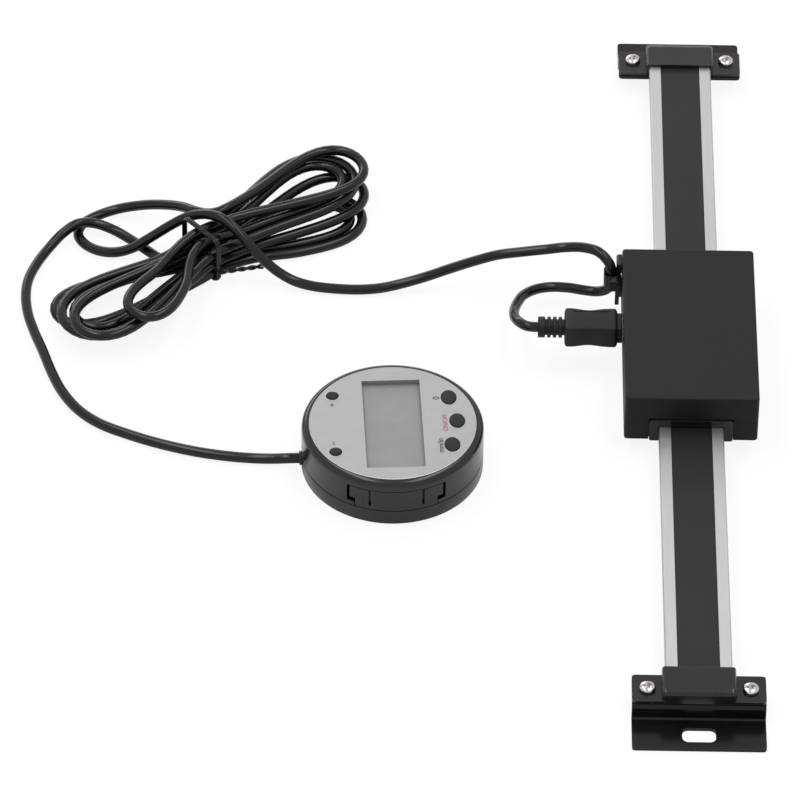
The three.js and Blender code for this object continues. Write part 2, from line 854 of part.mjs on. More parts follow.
// A flexing sleeve with rings, the last ring wider than the others.
function plugRelief() {
  const [core, rib] = [reliefCore / 2, reliefRib / 2];
  const rings = reliefRibs - 1;
  const gap = (reliefLength - reliefEndRib - rings * reliefRibWidth) / reliefRibs;
  const profile = [[0, 0]];
  for (let i = 0; i < rings; i += 1) {
    const start = i * (gap + reliefRibWidth) + gap;
    profile.push([core, i ? start - gap : 0], [core, start]);
    profile.push([rib, start], [rib, start + reliefRibWidth]);
  }
  const last = reliefLength - reliefEndRib;
  profile.push([core, last - gap], [core, last], [rib, last], [rib, reliefLength]);
  profile.push([0, reliefLength]);
  const sleeve = turned(profile, smallFacets).rotate([0, -90, 0]);
  return piece("plug_relief", sleeve, "blackPlastic");
}

const plugFaceX = -readerWidth / 2 - clearance;
const plugEndX = plugFaceX - plugNeckLength - plugLength;

function plug() {
  const group = new THREE.Group();
  const relief = plugRelief();
  relief.position.x = -plugNeckLength - plugLength - seat;
  group.add(plugBody(), plugShell(), relief);
  group.position.set(plugFaceX, readerRest + socketPlace, socketHeightPlace + seat);
  return group;
}

// Remote display, drawn about its own middle

const wallInside = displayRadius - displayWall;
const plateRecess = displayRadius - rimWidth;
const plateFloor = displayTop - plateDepth;
const ceilingLevel = plateFloor - ceilingThickness;
const sillLevel = displaySeam + seamGap + sillHeight;
const bossPlaces = [rightBossAngle, leftBossAngle, -leftBossAngle, -rightBossAngle].map(
  (angle) => [bossRing * Math.cos(radians(angle)), bossRing * Math.sin(radians(angle))],
);
const keyPlaces = {
  zero_key: [largeKeyX, largeKeyY, largeKeyWidth, largeKeyLength],
  power_key: [powerKeyX, 0, largeKeyWidth, largeKeyLength],
  unit_key: [largeKeyX, -largeKeyY, largeKeyWidth, largeKeyLength],
  upper_small_key: [smallKeyX, smallKeyY, smallKeyDiameter, smallKeyDiameter],
  lower_small_key: [smallKeyX, -smallKeyY, smallKeyDiameter, smallKeyDiameter],
};

const windowBlock = (lap, levels) =>
  block(
    about(windowShiftX, windowWidth + 2 * lap),
    about(windowShiftY, windowLength + 2 * lap),
    levels,
  );

const ovalPost = (width, length, levels) =>
  post(width, levels).scale([1, length / width, 1]);

const keyHoles = (levels) =>
  Object.values(keyPlaces).map(([x, y, width, length]) =>
    ovalPost(width + 2 * runningGap, length + 2 * runningGap, levels).translate([x, y, 0]),
  );

// A sector of a ring round the display's axis, centred on the drawer's side.
function wallSector(halfAngle, [inner, outer], levels) {
  const middle = -turn / 4;
  const outline = new THREE.Shape();
  outline.absarc(0, 0, outer, middle - radians(halfAngle), middle + radians(halfAngle));
  outline.absarc(0, 0, inner, middle + radians(halfAngle), middle - radians(halfAngle), true);
  return slab(outline, levels, midFacets / 2);
}

function displayCase() {
  const bottom = displaySeam + seamGap;
  const shoulder = arc(
    displayRadius - shoulderRadius,
    displayTop - shoulderRadius,
    shoulderRadius,
    0,
    turn / 4,
    2 * bendFacets,
  ).filter(([radius]) => radius > plateRecess);
  const shell = turned(
    [
      [0, ceilingLevel],
      [wallInside, ceilingLevel],
      [wallInside, bottom],
      [displayRadius, bottom],
      ...shoulder,
      [plateRecess, displayTop],
      [plateRecess, plateFloor],
      [0, plateFloor],
    ],
    wideFacets,
  );
  const bosses = bossPlaces.map(([x, y]) =>
    post(bossDiameter, [bossJoint + clearance, ceilingLevel + seat], x, y),
  );
  const pilots = bossPlaces.map(([x, y]) =>
    post(caseScrewShank + 2 * pilotGap, [bossJoint, ceilingLevel - clearance], x, y),
  );
  const through = [ceilingLevel - overrun, plateFloor + overrun];
  const wall = [wallInside - overrun, displayRadius + overrun];
  const doorway = [
    wallSector(drawerHalfAngle + drawerEndGap, wall, [sillLevel, drawerTop + clearance]),
    wallSector(sillAngle, wall, [bottom - overrun, sillLevel + seat]),
  ];
  const cutters = [windowBlock(lensLap + seat, through), ...keyHoles(through), ...doorway];
  return piece("display_case", cutAll(joinAll([shell, ...bosses]), [...pilots, ...cutters]),
    "blackPlastic");
}

function backCover() {
  const cup = turned(
    [
      [0, 0],
      [displayRadius - backChamfer, 0],
      [displayRadius, backChamfer],
      [displayRadius, displaySeam],
      [wallInside, displaySeam],
      [wallInside, backFloor],
      [0, backFloor],
    ],
    wideFacets,
  );
  const posts = bossPlaces.map(([x, y]) => post(bossDiameter, [seat, bossJoint], x, y));
  const runners = [-1, 1].map((side) =>
    block(
      about(side * runnerPlace, runnerWidth),
      [drawerTrayRear - runnerLength, drawerTrayRear],
      [backFloor - seat, drawerBottom - clearance / 2],
    ),
  );
  const screwHoles = bossPlaces.flatMap(([x, y]) => [
    post(caseScrewShank + 2 * pilotGap, [-overrun, bossJoint + overrun], x, y),
    post(caseScrewHead + pilotGap, [-overrun, caseScrewSink + caseScrewHeadHeight], x, y),
  ]);
  const magnetPockets = [-1, 1].map((side) =>
    post(magnetDiameter + clearance, [backFloor - magnetThickness - seat, backFloor + overrun],
      side * magnetX, magnetY, midFacets),
  );
  const cableHole = post(grommetBody + clearance, [-overrun, displayRadius + overrun])
    .rotate([0, -90, 0])
    .translate([0, 0, grommetHeight])
    .subtract(block(
      [grommetInside + clearance - displayRadius, displayRadius],
      about(0, displayRadius),
      about(0, displayRadius),
    ));
  return piece(
    "back_cover",
    cutAll(joinAll([cup, ...posts, ...runners]), [...screwHoles, ...magnetPockets, cableHole]),
    "blackPlastic",
  );
}

function facePlate() {
  const levels = [plateFloor + seat, plateFloor + seat + plateThickness];
  const disc = post(2 * (plateRecess - plateGap), levels, 0, 0, wideFacets);
  const through = [plateFloor - overrun, displayTop + overrun];
  const plate = cutAll(disc, [windowBlock(0, through), ...keyHoles(through)]);
  return piece("face_plate", plate, "silverPlate");
}

const lensBottom = ceilingLevel + seat;
const panelTop = ceilingLevel - seat;
const boardTop = displayBoardBottom + displayBoardThickness;

function screenStack() {
  const holder = windowBlock(panelLap, [boardTop + seat, panelTop - panelThickness - seat])
    .subtract(windowBlock(panelLap - holderWall, [boardTop - overrun, panelTop]));
  return [
    piece("window_lens", windowBlock(lensLap, [lensBottom, lensBottom + lensThickness]), "clearLens"),
    piece("lcd_panel", windowBlock(panelLap, [panelTop - panelThickness, panelTop]),
      "liquidCrystal"),
    piece("lcd_holder", holder, "whitePlastic"),
  ];
}

function displayBoard() {
  const disc = post(2 * displayBoardRadius, [displayBoardBottom, boardTop], 0, 0, wideFacets);
  const reliefs = bossPlaces.map(([x, y]) =>
    post(bossDiameter + 4 * clearance, [displayBoardBottom - overrun, boardTop + overrun], x, y),
  );
  return piece("display_board", cutAll(disc, reliefs), "circuitBoard");
}

const keyBottom = ceilingLevel - clearance - keyFlangeThickness;
const switchTop = keyBottom - keyTravel - keyFloatGap;

function key(name, [x, y, width, length]) {
  const [cap, top] = [width / 2, displayTop + keyProud];
  const dome = arc(0, top - keyDome, 1, 0, turn / 4).map(([across, up]) => [
    cap * across,
    top - keyDome + (up - top + keyDome) * keyDome,
  ]);
  const button = turned([[0, keyBottom], [cap, keyBottom], ...dome], smallFacets)
    .scale([1, length / width, 1]);
  const flange = ovalPost(width + 2 * keyFlange, length + 2 * keyFlange, [
    keyBottom,
    keyBottom + keyFlangeThickness,
  ]);
  return piece(name, button.add(flange).translate([x, y, 0]), "blackPlastic");
}

function keySwitch(name, [x, y]) {
  const shoulder = switchTop - switchPlungerHeight;
  const body = block(about(x, switchWidth), about(y, switchWidth), [boardTop + seat, shoulder]);
  const plunger = post(switchPlunger, [shoulder - seat, switchTop], x, y);
  return piece(name, body.add(plunger), "springSteel");
}

// Battery drawer: part of the display's wall with a tray behind it that holds the coin cell.
// The two ends of its face are parted from the middle by slots, and spring in to free it.

const cellY = drawerTrayRear - drawerTrayWall - cellGap - cellDiameter / 2;
const cellBottom = drawerBottom + drawerTrayFloor + seat;

function batteryDrawer() {
  const wall = [wallInside, displayRadius];
  const face = joinAll([
    wallSector(drawerHalfAngle, wall, [sillLevel + drawerFootHeight, drawerTop]),
    wallSector(drawerFootAngle, wall, [drawerBottom, drawerTop]),
  ]);
  const tray = block(
    about(0, drawerTrayWidth),
    [-Math.sqrt(wallInside ** 2 - (drawerTrayWidth / 2) ** 2) - displayWall / 2, drawerTrayRear],
    [drawerBottom, drawerBottom + drawerTrayHeight],
  );
  const pocket = post(
    cellDiameter + 2 * cellGap,
    [drawerBottom + drawerTrayFloor, drawerBottom + drawerTrayHeight + overrun],
    0,
    cellY,
    midFacets,
  );
  const levels = [sillLevel, drawerTop + overrun];
  const slots = [-1, 1].map((side) =>
    block(
      about(0, drawerSlotWidth),
      [drawerSlotDepth - displayRadius, -displayRadius - overrun].reverse(),
      levels,
    ).rotate([0, 0, side * drawerSlotAngle]),
  );
  const drawer = cutAll(face.add(tray), [pocket, ...slots]);
  return piece("battery_drawer", drawer, "blackPlastic");
}

function coinCell() {
  const [wide, narrow] = [cellDiameter / 2, cellDiameter / 2 - cellRimStep];
  const step = cellBottom + cellThickness - drawerSlotWidth / 2;
  const profile = [
    [0, cellBottom],
    [wide, cellBottom],
    [wide, step],
    [narrow, step],
    [narrow, cellBottom + cellThickness],
    [0, cellBottom + cellThickness],
  ];
  return piece("coin_cell", turned(profile).translate([0, cellY, 0]), "springSteel");
}

function contacts() {
  const under = displayBoardBottom - seat;
  const minus = block(
    about(0, contactWidth),
    about(cellY, contactLength),
    [under - contactSheet, under],
  );
  const plus = block(
    about(0, contactWidth),
    [drawerTrayRear + clearance, drawerTrayRear + clearance + contactSheet],
    [drawerBottom + drawerTrayFloor, under],
  );
  return [piece("contact_minus", minus, "springSteel"), piece("contact_plus", plus, "springSteel")];
}

function magnets() {
  const level = backFloor - magnetThickness;
  return ["left", "right"].map((side, i) => {
    const x = (i ? 1 : -1) * magnetX;
    const disc = post(magnetDiameter, [level, backFloor], x, magnetY, midFacets);
    return piece(`magnet_${side}`, disc, "springSteel");
  });
}

function caseScrews() {
  return bossPlaces.map(([x, y], i) => {
    const screw = panScrew(
      caseScrewShank, caseScrewLength, caseScrewHead, caseScrewHeadHeight,
      screwSlot, screwSlotDepth,
    );
    const level = caseScrewSink + caseScrewHeadHeight - seat;
    const placed = screw.rotate([180, 0, 0]).translate([x, y, level]);
    return piece(`case_screw_${i + 1}`, placed, "brightScrew");
  });
}

// The gland where the cable enters, at the display's left.
const grommetEnd = displayRadius + seat + grommetLipThickness;

function cableGrommet() {
  const [body, lip] = [grommetBody / 2, grommetLip / 2];
  const profile = [
    [0, displayRadius - grommetInside],
    [body, displayRadius - grommetInside],
    [body, displayRadius + seat],
    [lip, displayRadius + seat],
    [lip, grommetEnd],
    [0, grommetEnd],
  ];
  const gland = turned(profile, smallFacets).rotate([0, -90, 0]).translate([0, 0, grommetHeight]);
  return piece("cable_grommet", gland, "blackPlastic");
}

function remoteDisplay() {
  const group = new THREE.Group();
  group.add(displayCase(), backCover(), facePlate(), ...screenStack(), displayBoard());
  for (const [name, place] of Object.entries(keyPlaces)) {
    group.add(key(name, place), keySwitch(name.replace("_key", "_switch"), place));
  }
  group.add(batteryDrawer(), coinCell(), ...contacts(), ...magnets(), ...caseScrews());
  group.add(cableGrommet());
  group.position.set(displayX, displayY, 0);
  group.rotation.z = radians(displayTurn);
  return group;
}

// Hank: one run of cable wound in flat loops, four layers deep, drawn in at the waist

const cableRadius = cableDiameter / 2;
const hankAxis = new THREE.Vector3(
  Math.cos(radians(hankAngle)),
  Math.sin(radians(hankAngle)),
  0,
);
const hankLeft = new THREE.Vector3(-hankAxis.y, hankAxis.x, 0);
const smooth = (x) => THREE.MathUtils.smoothstep(x, 0, 1);
const layerAt = (turns) => Math.min(Math.floor(turns / turnsPerLayer), hankLayers - 1);

// The innermost loop of a layer, along and across the hank.
function innerLoop(turns, layer) {
  const angle = turn * turns;
  const [reaches, widths] =
    Math.sin(angle) > 0 ? [upperReaches, upperWidths] : [lowerReaches, lowerWidths];
  const opening = widths[layer] * Math.sin(angle) ** 2;
  return new THREE.Vector2(
    reaches[layer] * Math.sin(angle),
    Math.cos(angle) * (hankWaist + opening),
  );
}

// The last loop swings out to the right first, and comes back along the left side.
function lastLoop(turns) {
  const angle = turn * turns;
  const top = hankLayers - 1;
  const outwards = turnsPerLayer / 2;
  const shift = hankStep * (0.5 + smooth((turns - lastLoopTurns) * 2));
  return new THREE.Vector2(
    (upperReaches[top] + hankStep * outwards) * Math.sin(angle),
    hankWaist + shift - upperWidths[top] * Math.cos(angle) * Math.sin(angle) ** 2,
  );
}

// Any other loop is the innermost one of its layer, moved out by the spiral's steps.
function spiralLoop(turns) {
  const nearby = 1e-4;
  const layer = layerAt(turns);
  const [before, after] = [innerLoop(turns - nearby, layer), innerLoop(turns + nearby, layer)];
  const heading = after.sub(before).normalize();
  const steps = Math.abs(turnsPerLayer - (turns % (2 * turnsPerLayer)));
  const outwards = new THREE.Vector2(-heading.y, heading.x);
  return innerLoop(turns, layer).addScaledVector(outwards, hankStep * steps);
}

// Along, across and up from the hank's middle on the surface.
function hankPoint(turns) {
  const flat = turns < lastLoopTurns ? spiralLoop(turns) : lastLoop(turns);
  const leans = flat.x > 0 ? upperLeans : lowerLeans;
  const lean = radians(leans[layerAt(turns)]) * smooth(Math.abs(flat.x) / hankFanStart);
  const x = flat.x * Math.cos(lean) - flat.y * Math.sin(lean);
  const y = flat.x * Math.sin(lean) + flat.y * Math.cos(lean);
  const nearest = Math.round(turns / turnsPerLayer);
  const climbed = smooth((turns - nearest * turnsPerLayer) / hankClimb + 0.5);
  const level = Math.min(Math.max(nearest - 1 + climbed, 0), hankLayers - 1);
  const lift = hankLift * Math.exp(-(((flat.x - wireTiePlace) / hankLiftLength) ** 2));
  return [x, y, cableRadius + floorGap + level * hankLayer + lift];
}

function hankPlace([along, across, up]) {
  return new THREE.Vector3(hankX, hankY, up)
    .addScaledVector(hankAxis, along)
    .addScaledVector(hankLeft, across);
}

// Points of the hank, with so many to a turn.
function windingPoints(perTurn) {
  const steps = Math.round(hankEndTurns * perTurn);
  return Array.from({ length: steps + 1 }, (_, i) =>
    hankPlace(hankPoint((hankEndTurns * i) / steps)),
  );
}

// The way out of the hank at one of its ends, which runs straight for one diameter.
function wayOut(points) {
  const heading = points[0].clone().sub(points[1]).normalize();
  return { heading, point: points[0].clone().addScaledVector(heading, cableDiameter) };
}

const winding = windingPoints(hankStepsPerTurn);
const [lowerEnd, upperEnd] = [wayOut(winding), wayOut([...winding].reverse())];

// A tube of rings round a route, each ring square to the route there.
function ringTube(route, diameter, sides) {
  const corners = [];
  const faces = [];
  const side = new THREE.Vector3(0, 0, 1);
  route.forEach((point, i) => {
    const before = route[Math.max(i - 1, 0)];
    const after = route[Math.min(i + 1, route.length - 1)];
    const heading = after.clone().sub(before).normalize();
    side.addScaledVector(heading, -side.dot(heading)).normalize();
    const other = heading.clone().cross(side);
    for (let k = 0; k < sides; k += 1) {
      const angle = (turn * (k + 0.5)) / sides;
      const corner = point
        .clone()
        .addScaledVector(side, (diameter / 2) * Math.cos(angle))
        .addScaledVector(other, (diameter / 2) * Math.sin(angle));
      corners.push(...corner.toArray());
    }
  });
  const last = (route.length - 1) * sides;
  for (let k = 0; k < sides; k += 1) {
    const next = (k + 1) % sides;
    for (let ring = 0; ring < last; ring += sides) {
      faces.push(ring + k, ring + next, ring + sides + k);
      faces.push(ring + next, ring + sides + next, ring + sides + k);
    }
    if (k > 0 && next > 0) {
      faces.push(0, next, k);
      faces.push(last, last + k, last + next);
    }
  }
  const geometry = new THREE.BufferGeometry();
  geometry.setAttribute("position", new THREE.BufferAttribute(new Float32Array(corners), 3));
  geometry.setIndex(faces);
  return solid(geometry);
}

// The least distance between two stretches of the hank, less the cable's diameter.
function leastGap(perTurn) {
  const points = windingPoints(perTurn);
  let least = Infinity;
  points.forEach((point, i) => {
    for (let k = i + Math.round(perTurn / 4); k < points.length; k += 1) {
      least = Math.min(least, point.distanceTo(points[k]));
    }
  });
  return least - cableDiameter;
}

// Wire tie round the hank's waist, with its twisted ends lying to the right.
function wireTie() {
  const half = turnsPerLayer * hankStep;
  const left = hankWaist + half + cableRadius + wireTieSlack;
  const right = hankStep / 2 - left;
  const bottom = floorGap + hankLift - wireTieSlack;
  const top = floorGap + cableDiameter + (hankLayers - 1) * hankLayer + hankLift + wireTieSlack;
  const ring = (grow) =>
    roundedRectangle(left - right + 2 * grow, top - bottom + 2 * grow, wireTieCorner + grow);
  const band = barAlongX(ring(wireTieThickness), about(wireTiePlace, wireTieWidth))
    .subtract(barAlongX(ring(0), about(wireTiePlace, wireTieWidth + overrun)))
    .translate([0, (left + right) / 2, (top + bottom) / 2])
    .rotate([0, 0, hankAngle])
    .translate([hankX, hankY, 0]);
  const root = hankPlace([wireTiePlace, right - wireTailDiameter / 2, wireTailHeight]);
  const tail = post(wireTailDiameter, [0, wireTailLength], 0, 0, cableSides)
    .rotate([0, 90, hankAngle / 3])
    .translate(root.toArray());
  return piece("wire_tie", band.add(tail), "cableJacket");
}

// Free stretches of the cable, each along points chosen by hand, from the beam's middle

const displayLeadRoute = [
  [-170.4, 55.7, 3.2],
  [-172.8, 54.4, 2.8],
  [-175.8, 54.1, 2.3],
  [-179.2, 55.4, 2.1],
  [-183.8, 59.6, 2.1],
  [-189, 64.9, 1.8],
  [-195.4, 69.4, 2.5],
  [-202, 70.6, 4.4],
  [-207.6, 68.6, 5.9],
  [-212.4, 65, 4.8],
  [-217, 60, 2.4],
  [-221, 52, 1.77],
  [-223.4, 43.5, 1.77],
  [-223.8, 35, 1.77],
  [-222.6, 26, 1.77],
  [-220.1, 17, 1.77],
  [-216.6, 7, 1.77],
  [-213, -4, 1.77],
  [-208.8, -14, 1.77],
  [-203, -22.8, 1.77],
  [-195.7, -29.3, 1.77],
  [-186, -34.4, 1.77],
  [-175, -38.9, 1.77],
  [-163, -42.5, 1.77],
  [-152, -44.5, 1.77],
  [-143.5, -45.4, 1.9],
  [-137.5, -46.2, 2.6],
];
const readerLeadRoute = [
  [-156.8, 68, 14.2],
  [-159.7, 66.3, 13.9],
  [-163.4, 65.9, 13.6],
  [-166.9, 67.3, 13.2],
  [-171.4, 71.6, 11.4],
  [-177.4, 75.7, 8.9],
  [-185.5, 79, 5.9],
  [-194.8, 79.9, 3.1],
  [-202.4, 77.2, 1.8],
  [-206.6, 72.9, 1.77],
  [-207.6, 67.6, 1.77],
  [-205.3, 62.9, 1.77],
  [-200.6, 59.4, 1.8],
  [-194.4, 57.6, 2.6],
  [-188.6, 57.6, 4.6],
  [-184, 59.2, 6.8],
  [-180, 60.7, 8.8],
  [-175.2, 62, 11.6],
  [-170.3, 62.3, 14.6],
  [-165.6, 60.9, 17.3],
  [-161.2, 58.8, 18.8],
  [-157, 56.2, 18.9],
  [-152.6, 52.7, 17.1],
  [-148, 49.5, 13.3],
  [-143.2, 47, 8.9],
  [-138.2, 45, 5.4],
  [-133, 43.5, 3],
  [-127, 42.2, 2],
  [-119, 41.2, 1.77],
  [-110.5, 40.9, 1.8],
  [-103, 41.3, 2.4],
  [-96, 42.3, 3.7],
  [-88, 43.2, 6.1],
  [-80, 43.8, 9.3],
  [-72, 44, 12.6],
  [-64, 43.9, 15.6],
  [-56, 43.4, 17.5],
  [-48, 43, 19.1],
  [-41, 43, 20.2],
  [-35.1, 41, 21.9],
  [-30.4, 38.1, 22.7],
  [-27.7, 35.9, 21.6],
  [-26.1, 34.5, 19.5],
];
const plugLeadRoute = [
  [-26.1, 33.9, 10.9],
  [-27.7, 34.6, 8.6],
  [-30.3, 35.6, 7.1],
  [-34.5, 36.6, 6.7],
  [-40, 37.2, 7.2],
  [-45.8, 37.2, 7.4],
  [-51, 35.2, 8],
  [-55.1, 31.2, 8.8],
  [-57.2, 26, 9.9],
  [-58.3, 20.8, 11.2],
  [-58.4, 16, 12.8],
  [-57.6, 12.1, 14.2],
  [-56.2, 9.4, 15.1],
  [-54.4, 7.75, 15.4],
];

// A length of cable through the points of a route, square to what it meets at both ends.
function lead(name, points, steps) {
  const curve = new THREE.CatmullRomCurve3(points, false, "centripetal");
  const section = new THREE.Shape(
    Array.from({ length: cableSides }, (_, k) => {
      const angle = (turn * (k + 0.5)) / cableSides;
      return new THREE.Vector2(cableRadius * Math.cos(angle), cableRadius * Math.sin(angle));
    }),
  );
  const geometry = new THREE.ExtrudeGeometry(section, { steps, extrudePath: curve });
  return piece(name, solid(geometry), "cableJacket");
}

function cable() {
  const vector = ([x, y, z]) => new THREE.Vector3(x, y, z);
  const start = lowerEnd.point.clone().addScaledVector(lowerEnd.heading, cordJoint);
  const end = upperEnd.point.clone().addScaledVector(upperEnd.heading, cordJoint);
  const atDisplay = (out) =>
    new THREE.Vector3(-(grommetEnd + out), 0, grommetHeight)
      .applyAxisAngle(new THREE.Vector3(0, 0, 1), radians(displayTurn))
      .add(new THREE.Vector3(displayX, displayY, 0));
  const atTie = (up) => new THREE.Vector3(cableX, cableY, up);
  const tieTop = tieBottom + tieHeight;
  const plugY = readerRest + socketPlace;
  const atPlug = (out) =>
    new THREE.Vector3(plugEndX - seat - reliefLength - out, plugY, socketHeightPlace + seat);
  const gap = leastGap(4 * hankStepsPerTurn);
  console.log(`least gap between the hank's runs: ${gap.toFixed(2)} mm`);
  const group = new THREE.Group();
  group.add(
    lead(
      "cable_to_display",
      [start, ...displayLeadRoute.map(vector), atDisplay(cableDiameter), atDisplay(cordJoint)],
      27,
    ),
    piece(
      "cable_hank",
      ringTube([lowerEnd.point, ...winding, upperEnd.point], cableDiameter, hankSides),
      "cableJacket",
    ),
    wireTie(),
    lead(
      "cable_to_reader",
      [
        end,
        ...readerLeadRoute.map(vector),
        atTie(tieTop),
        atTie(tieBottom + cordJoint / 2),
      ],
      39,
    ),
    lead(
      "plug_lead",
      [
        atTie(tieBottom - cordJoint / 2),
        ...plugLeadRoute.map(vector),
        atPlug(cableDiameter / 2),
        atPlug(cordJoint),
      ],
      16,
    ),
  );
  return group;
}

// Everything stands about the beam's middle; the origin then moves under the middle of the
// scale and display together.
const rigid = new THREE.Group();
rigid.add(
  beam(), gratingStrip(), scaleEnd("front"), scaleEnd("rear"), readerHead(), remoteDisplay(),
);
const whole = new THREE.Group();
const bounds = new THREE.Box3().setFromObject(rigid, true);
whole.add(rigid, plug(), cable());
whole.position.set(
  -(bounds.min.x + bounds.max.x) / 2,
  -(bounds.min.y + bounds.max.y) / 2,
  0,
);
const group = new THREE.Group();
group.add(whole);

export default group;
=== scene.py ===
"""Dresses the digital linear scale: the beam on its feet, the reader head, the round display and
their cable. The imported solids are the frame. Sizes are in millimetres from the beam's middle, and
those of the lamps and the floor's reach are in metres."""

import json
import math

import bmesh
import bpy
from mathutils import Matrix, Vector


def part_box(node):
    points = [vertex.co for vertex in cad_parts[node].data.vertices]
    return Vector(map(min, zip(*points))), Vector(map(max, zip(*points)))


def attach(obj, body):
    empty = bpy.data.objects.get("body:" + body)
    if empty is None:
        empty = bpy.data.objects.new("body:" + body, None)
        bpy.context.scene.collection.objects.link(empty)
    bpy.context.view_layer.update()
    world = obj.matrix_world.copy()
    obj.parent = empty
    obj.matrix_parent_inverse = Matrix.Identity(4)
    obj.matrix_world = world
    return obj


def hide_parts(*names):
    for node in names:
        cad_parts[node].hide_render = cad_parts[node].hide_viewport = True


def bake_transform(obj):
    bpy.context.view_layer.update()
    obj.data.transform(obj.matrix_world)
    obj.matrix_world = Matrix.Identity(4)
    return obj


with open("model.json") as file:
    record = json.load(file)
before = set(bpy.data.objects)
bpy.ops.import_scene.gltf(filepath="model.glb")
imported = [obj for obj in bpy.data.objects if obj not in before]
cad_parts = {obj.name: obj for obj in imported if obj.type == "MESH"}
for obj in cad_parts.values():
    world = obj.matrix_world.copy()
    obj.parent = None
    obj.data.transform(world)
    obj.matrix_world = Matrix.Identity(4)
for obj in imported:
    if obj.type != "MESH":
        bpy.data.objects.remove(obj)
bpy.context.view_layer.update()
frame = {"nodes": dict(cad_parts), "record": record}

MM = 0.001
TURN = 2 * math.pi
beam_low, beam_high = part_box("beam")
BEAM_MIDDLE = Vector(((beam_low.x + beam_high.x) / 2, 0, 0))
scene = bpy.context.scene


def at(x, y, z):
    return BEAM_MIDDLE + Vector((x, y, z)) * MM


def shifted(x, y, z=0.0):
    return Matrix.Translation(Vector((x, y, z)) * MM)


def added(name, data):
    made = bpy.data.objects.new(name, data)
    scene.collection.objects.link(made)
    return made


# Camera, fitted to the photograph's straight edges and circles

CAMERA_PLACE = (-90.87, -1651.65, 1457.2)
CAMERA_PITCH = math.radians(-41.65)
CAMERA_YAW = math.radians(-0.19)
CAMERA_ROLL = math.radians(0.73)
CAMERA_FOCUS = 8.21  # in widths of the square frame
SENSOR = 36


def make_camera():
    ahead = Vector(
        (
            math.sin(CAMERA_YAW) * math.cos(CAMERA_PITCH),
            math.cos(CAMERA_YAW) * math.cos(CAMERA_PITCH),
            math.sin(CAMERA_PITCH),
        )
    )
    level = ahead.cross(Vector((0, 0, 1))).normalized()
    upright = level.cross(ahead)
    right = level * math.cos(CAMERA_ROLL) + upright * math.sin(CAMERA_ROLL)
    up = upright * math.cos(CAMERA_ROLL) - level * math.sin(CAMERA_ROLL)
    data = bpy.data.cameras.new("camera")
    data.sensor_width = SENSOR
    data.lens = SENSOR * CAMERA_FOCUS
    data.clip_start, data.clip_end = 0.1, 20
    camera = added("camera", data)
    facing = Matrix((right, up, -ahead)).transposed().to_4x4()
    camera.matrix_world = Matrix.Translation(at(*CAMERA_PLACE)) @ facing
    scene.camera = camera


make_camera()

# Shader nodes


def node_in(tree, kind, settings=None, **inputs):
    node = tree.nodes.new(kind)
    for name, value in (settings or {}).items():
        setattr(node, name, value)
    for name, value in inputs.items():
        feed(tree, node.inputs[name], value)
    return node


def feed(tree, socket, value):
    if isinstance(value, bpy.types.NodeSocket):
        tree.links.new(value, socket)
    else:
        socket.default_value = value


def in_order(tree, kind, values, **settings):
    """A node whose inputs are fed in their order, and its outputs."""
    node = node_in(tree, kind, settings)
    for socket, value in zip(node.inputs, values):
        feed(tree, socket, value)
    return node.outputs


def maths(tree, operation, *values, clamp=False):
    return in_order(tree, "ShaderNodeMath", values, operation=operation, use_clamp=clamp)[0]


def tinted(tree, share, first, second):
    node = node_in(tree, "ShaderNodeMix", {"data_type": "RGBA"})
    for index, value in ((0, share), (6, first), (7, second)):
        feed(tree, node.inputs[index], value)
    return node.outputs[2]


def ranged(tree, value, low, high, to_low=0.0, to_high=1.0):
    return in_order(tree, "ShaderNodeMapRange", (value, low, high, to_low, to_high))[0]


def own_place(tree):
    return node_in(tree, "ShaderNodeTexCoord").outputs["Object"]


def effect(name, inputs, outputs):
    """An empty node group with these float inputs and outputs, and its two ends' sockets."""
    tree = bpy.data.node_groups.new(name, "ShaderNodeTree")
    for label, value in inputs.items():
        socket = tree.interface.new_socket(label, in_out="INPUT", socket_type="NodeSocketFloat")
        socket.default_value = value
        socket.min_value, socket.max_value = -1e6, 1e6
    for label in outputs:
        tree.interface.new_socket(label, in_out="OUTPUT", socket_type="NodeSocketFloat")
    given, made = tree.nodes.new("NodeGroupInput"), tree.nodes.new("NodeGroupOutput")
    return tree, given.outputs, made.inputs


def noise(tree, vector, scale, detail=2.0, roughness=0.5):
    node = node_in(
        tree, "ShaderNodeTexNoise", Vector=vector, Scale=scale, Detail=detail, Roughness=roughness
    )
    return node.outputs["Fac"]


def moulded_grain():
    """Fine texture of a moulded or painted skin: its height, and a soft cloudy tone."""
    tree, given, made = effect(
        "moulded grain", {"Grain size": 3000.0, "Cloud size": 60.0}, ("Height", "Cloud")
    )
    place = own_place(tree)
    feed(tree, made["Height"], noise(tree, place, given["Grain size"], 3.0, 0.6))
    feed(tree, made["Cloud"], noise(tree, place, given["Cloud size"], 4.0, 0.6))
    return tree


def highlighted_edges():
    """A mask that is one along sharp edges, broken up by noise, for painting a highlight on them.
    """
    tree, given, made = effect("painted edge highlights", {"Reach": 0.0003, "Breaks": 400.0}, ("Edge",))
    rounded = node_in(tree, "ShaderNodeBevel", {"samples": 4}, Radius=given["Reach"])
    flat = node_in(tree, "ShaderNodeNewGeometry")
    normals = (rounded.outputs["Normal"], flat.outputs["Normal"])
    likeness = in_order(tree, "ShaderNodeVectorMath", normals, operation="DOT_PRODUCT")
    edge = ranged(tree, likeness["Value"], 0.998, 0.9)
    clouds = noise(tree, own_place(tree), given["Breaks"], 3.0)
    breaks = ranged(tree, clouds, 0.35, 0.65, 0.25, 1.0)
    feed(tree, made["Edge"], maths(tree, "MULTIPLY", edge, breaks, clamp=True))
    return tree


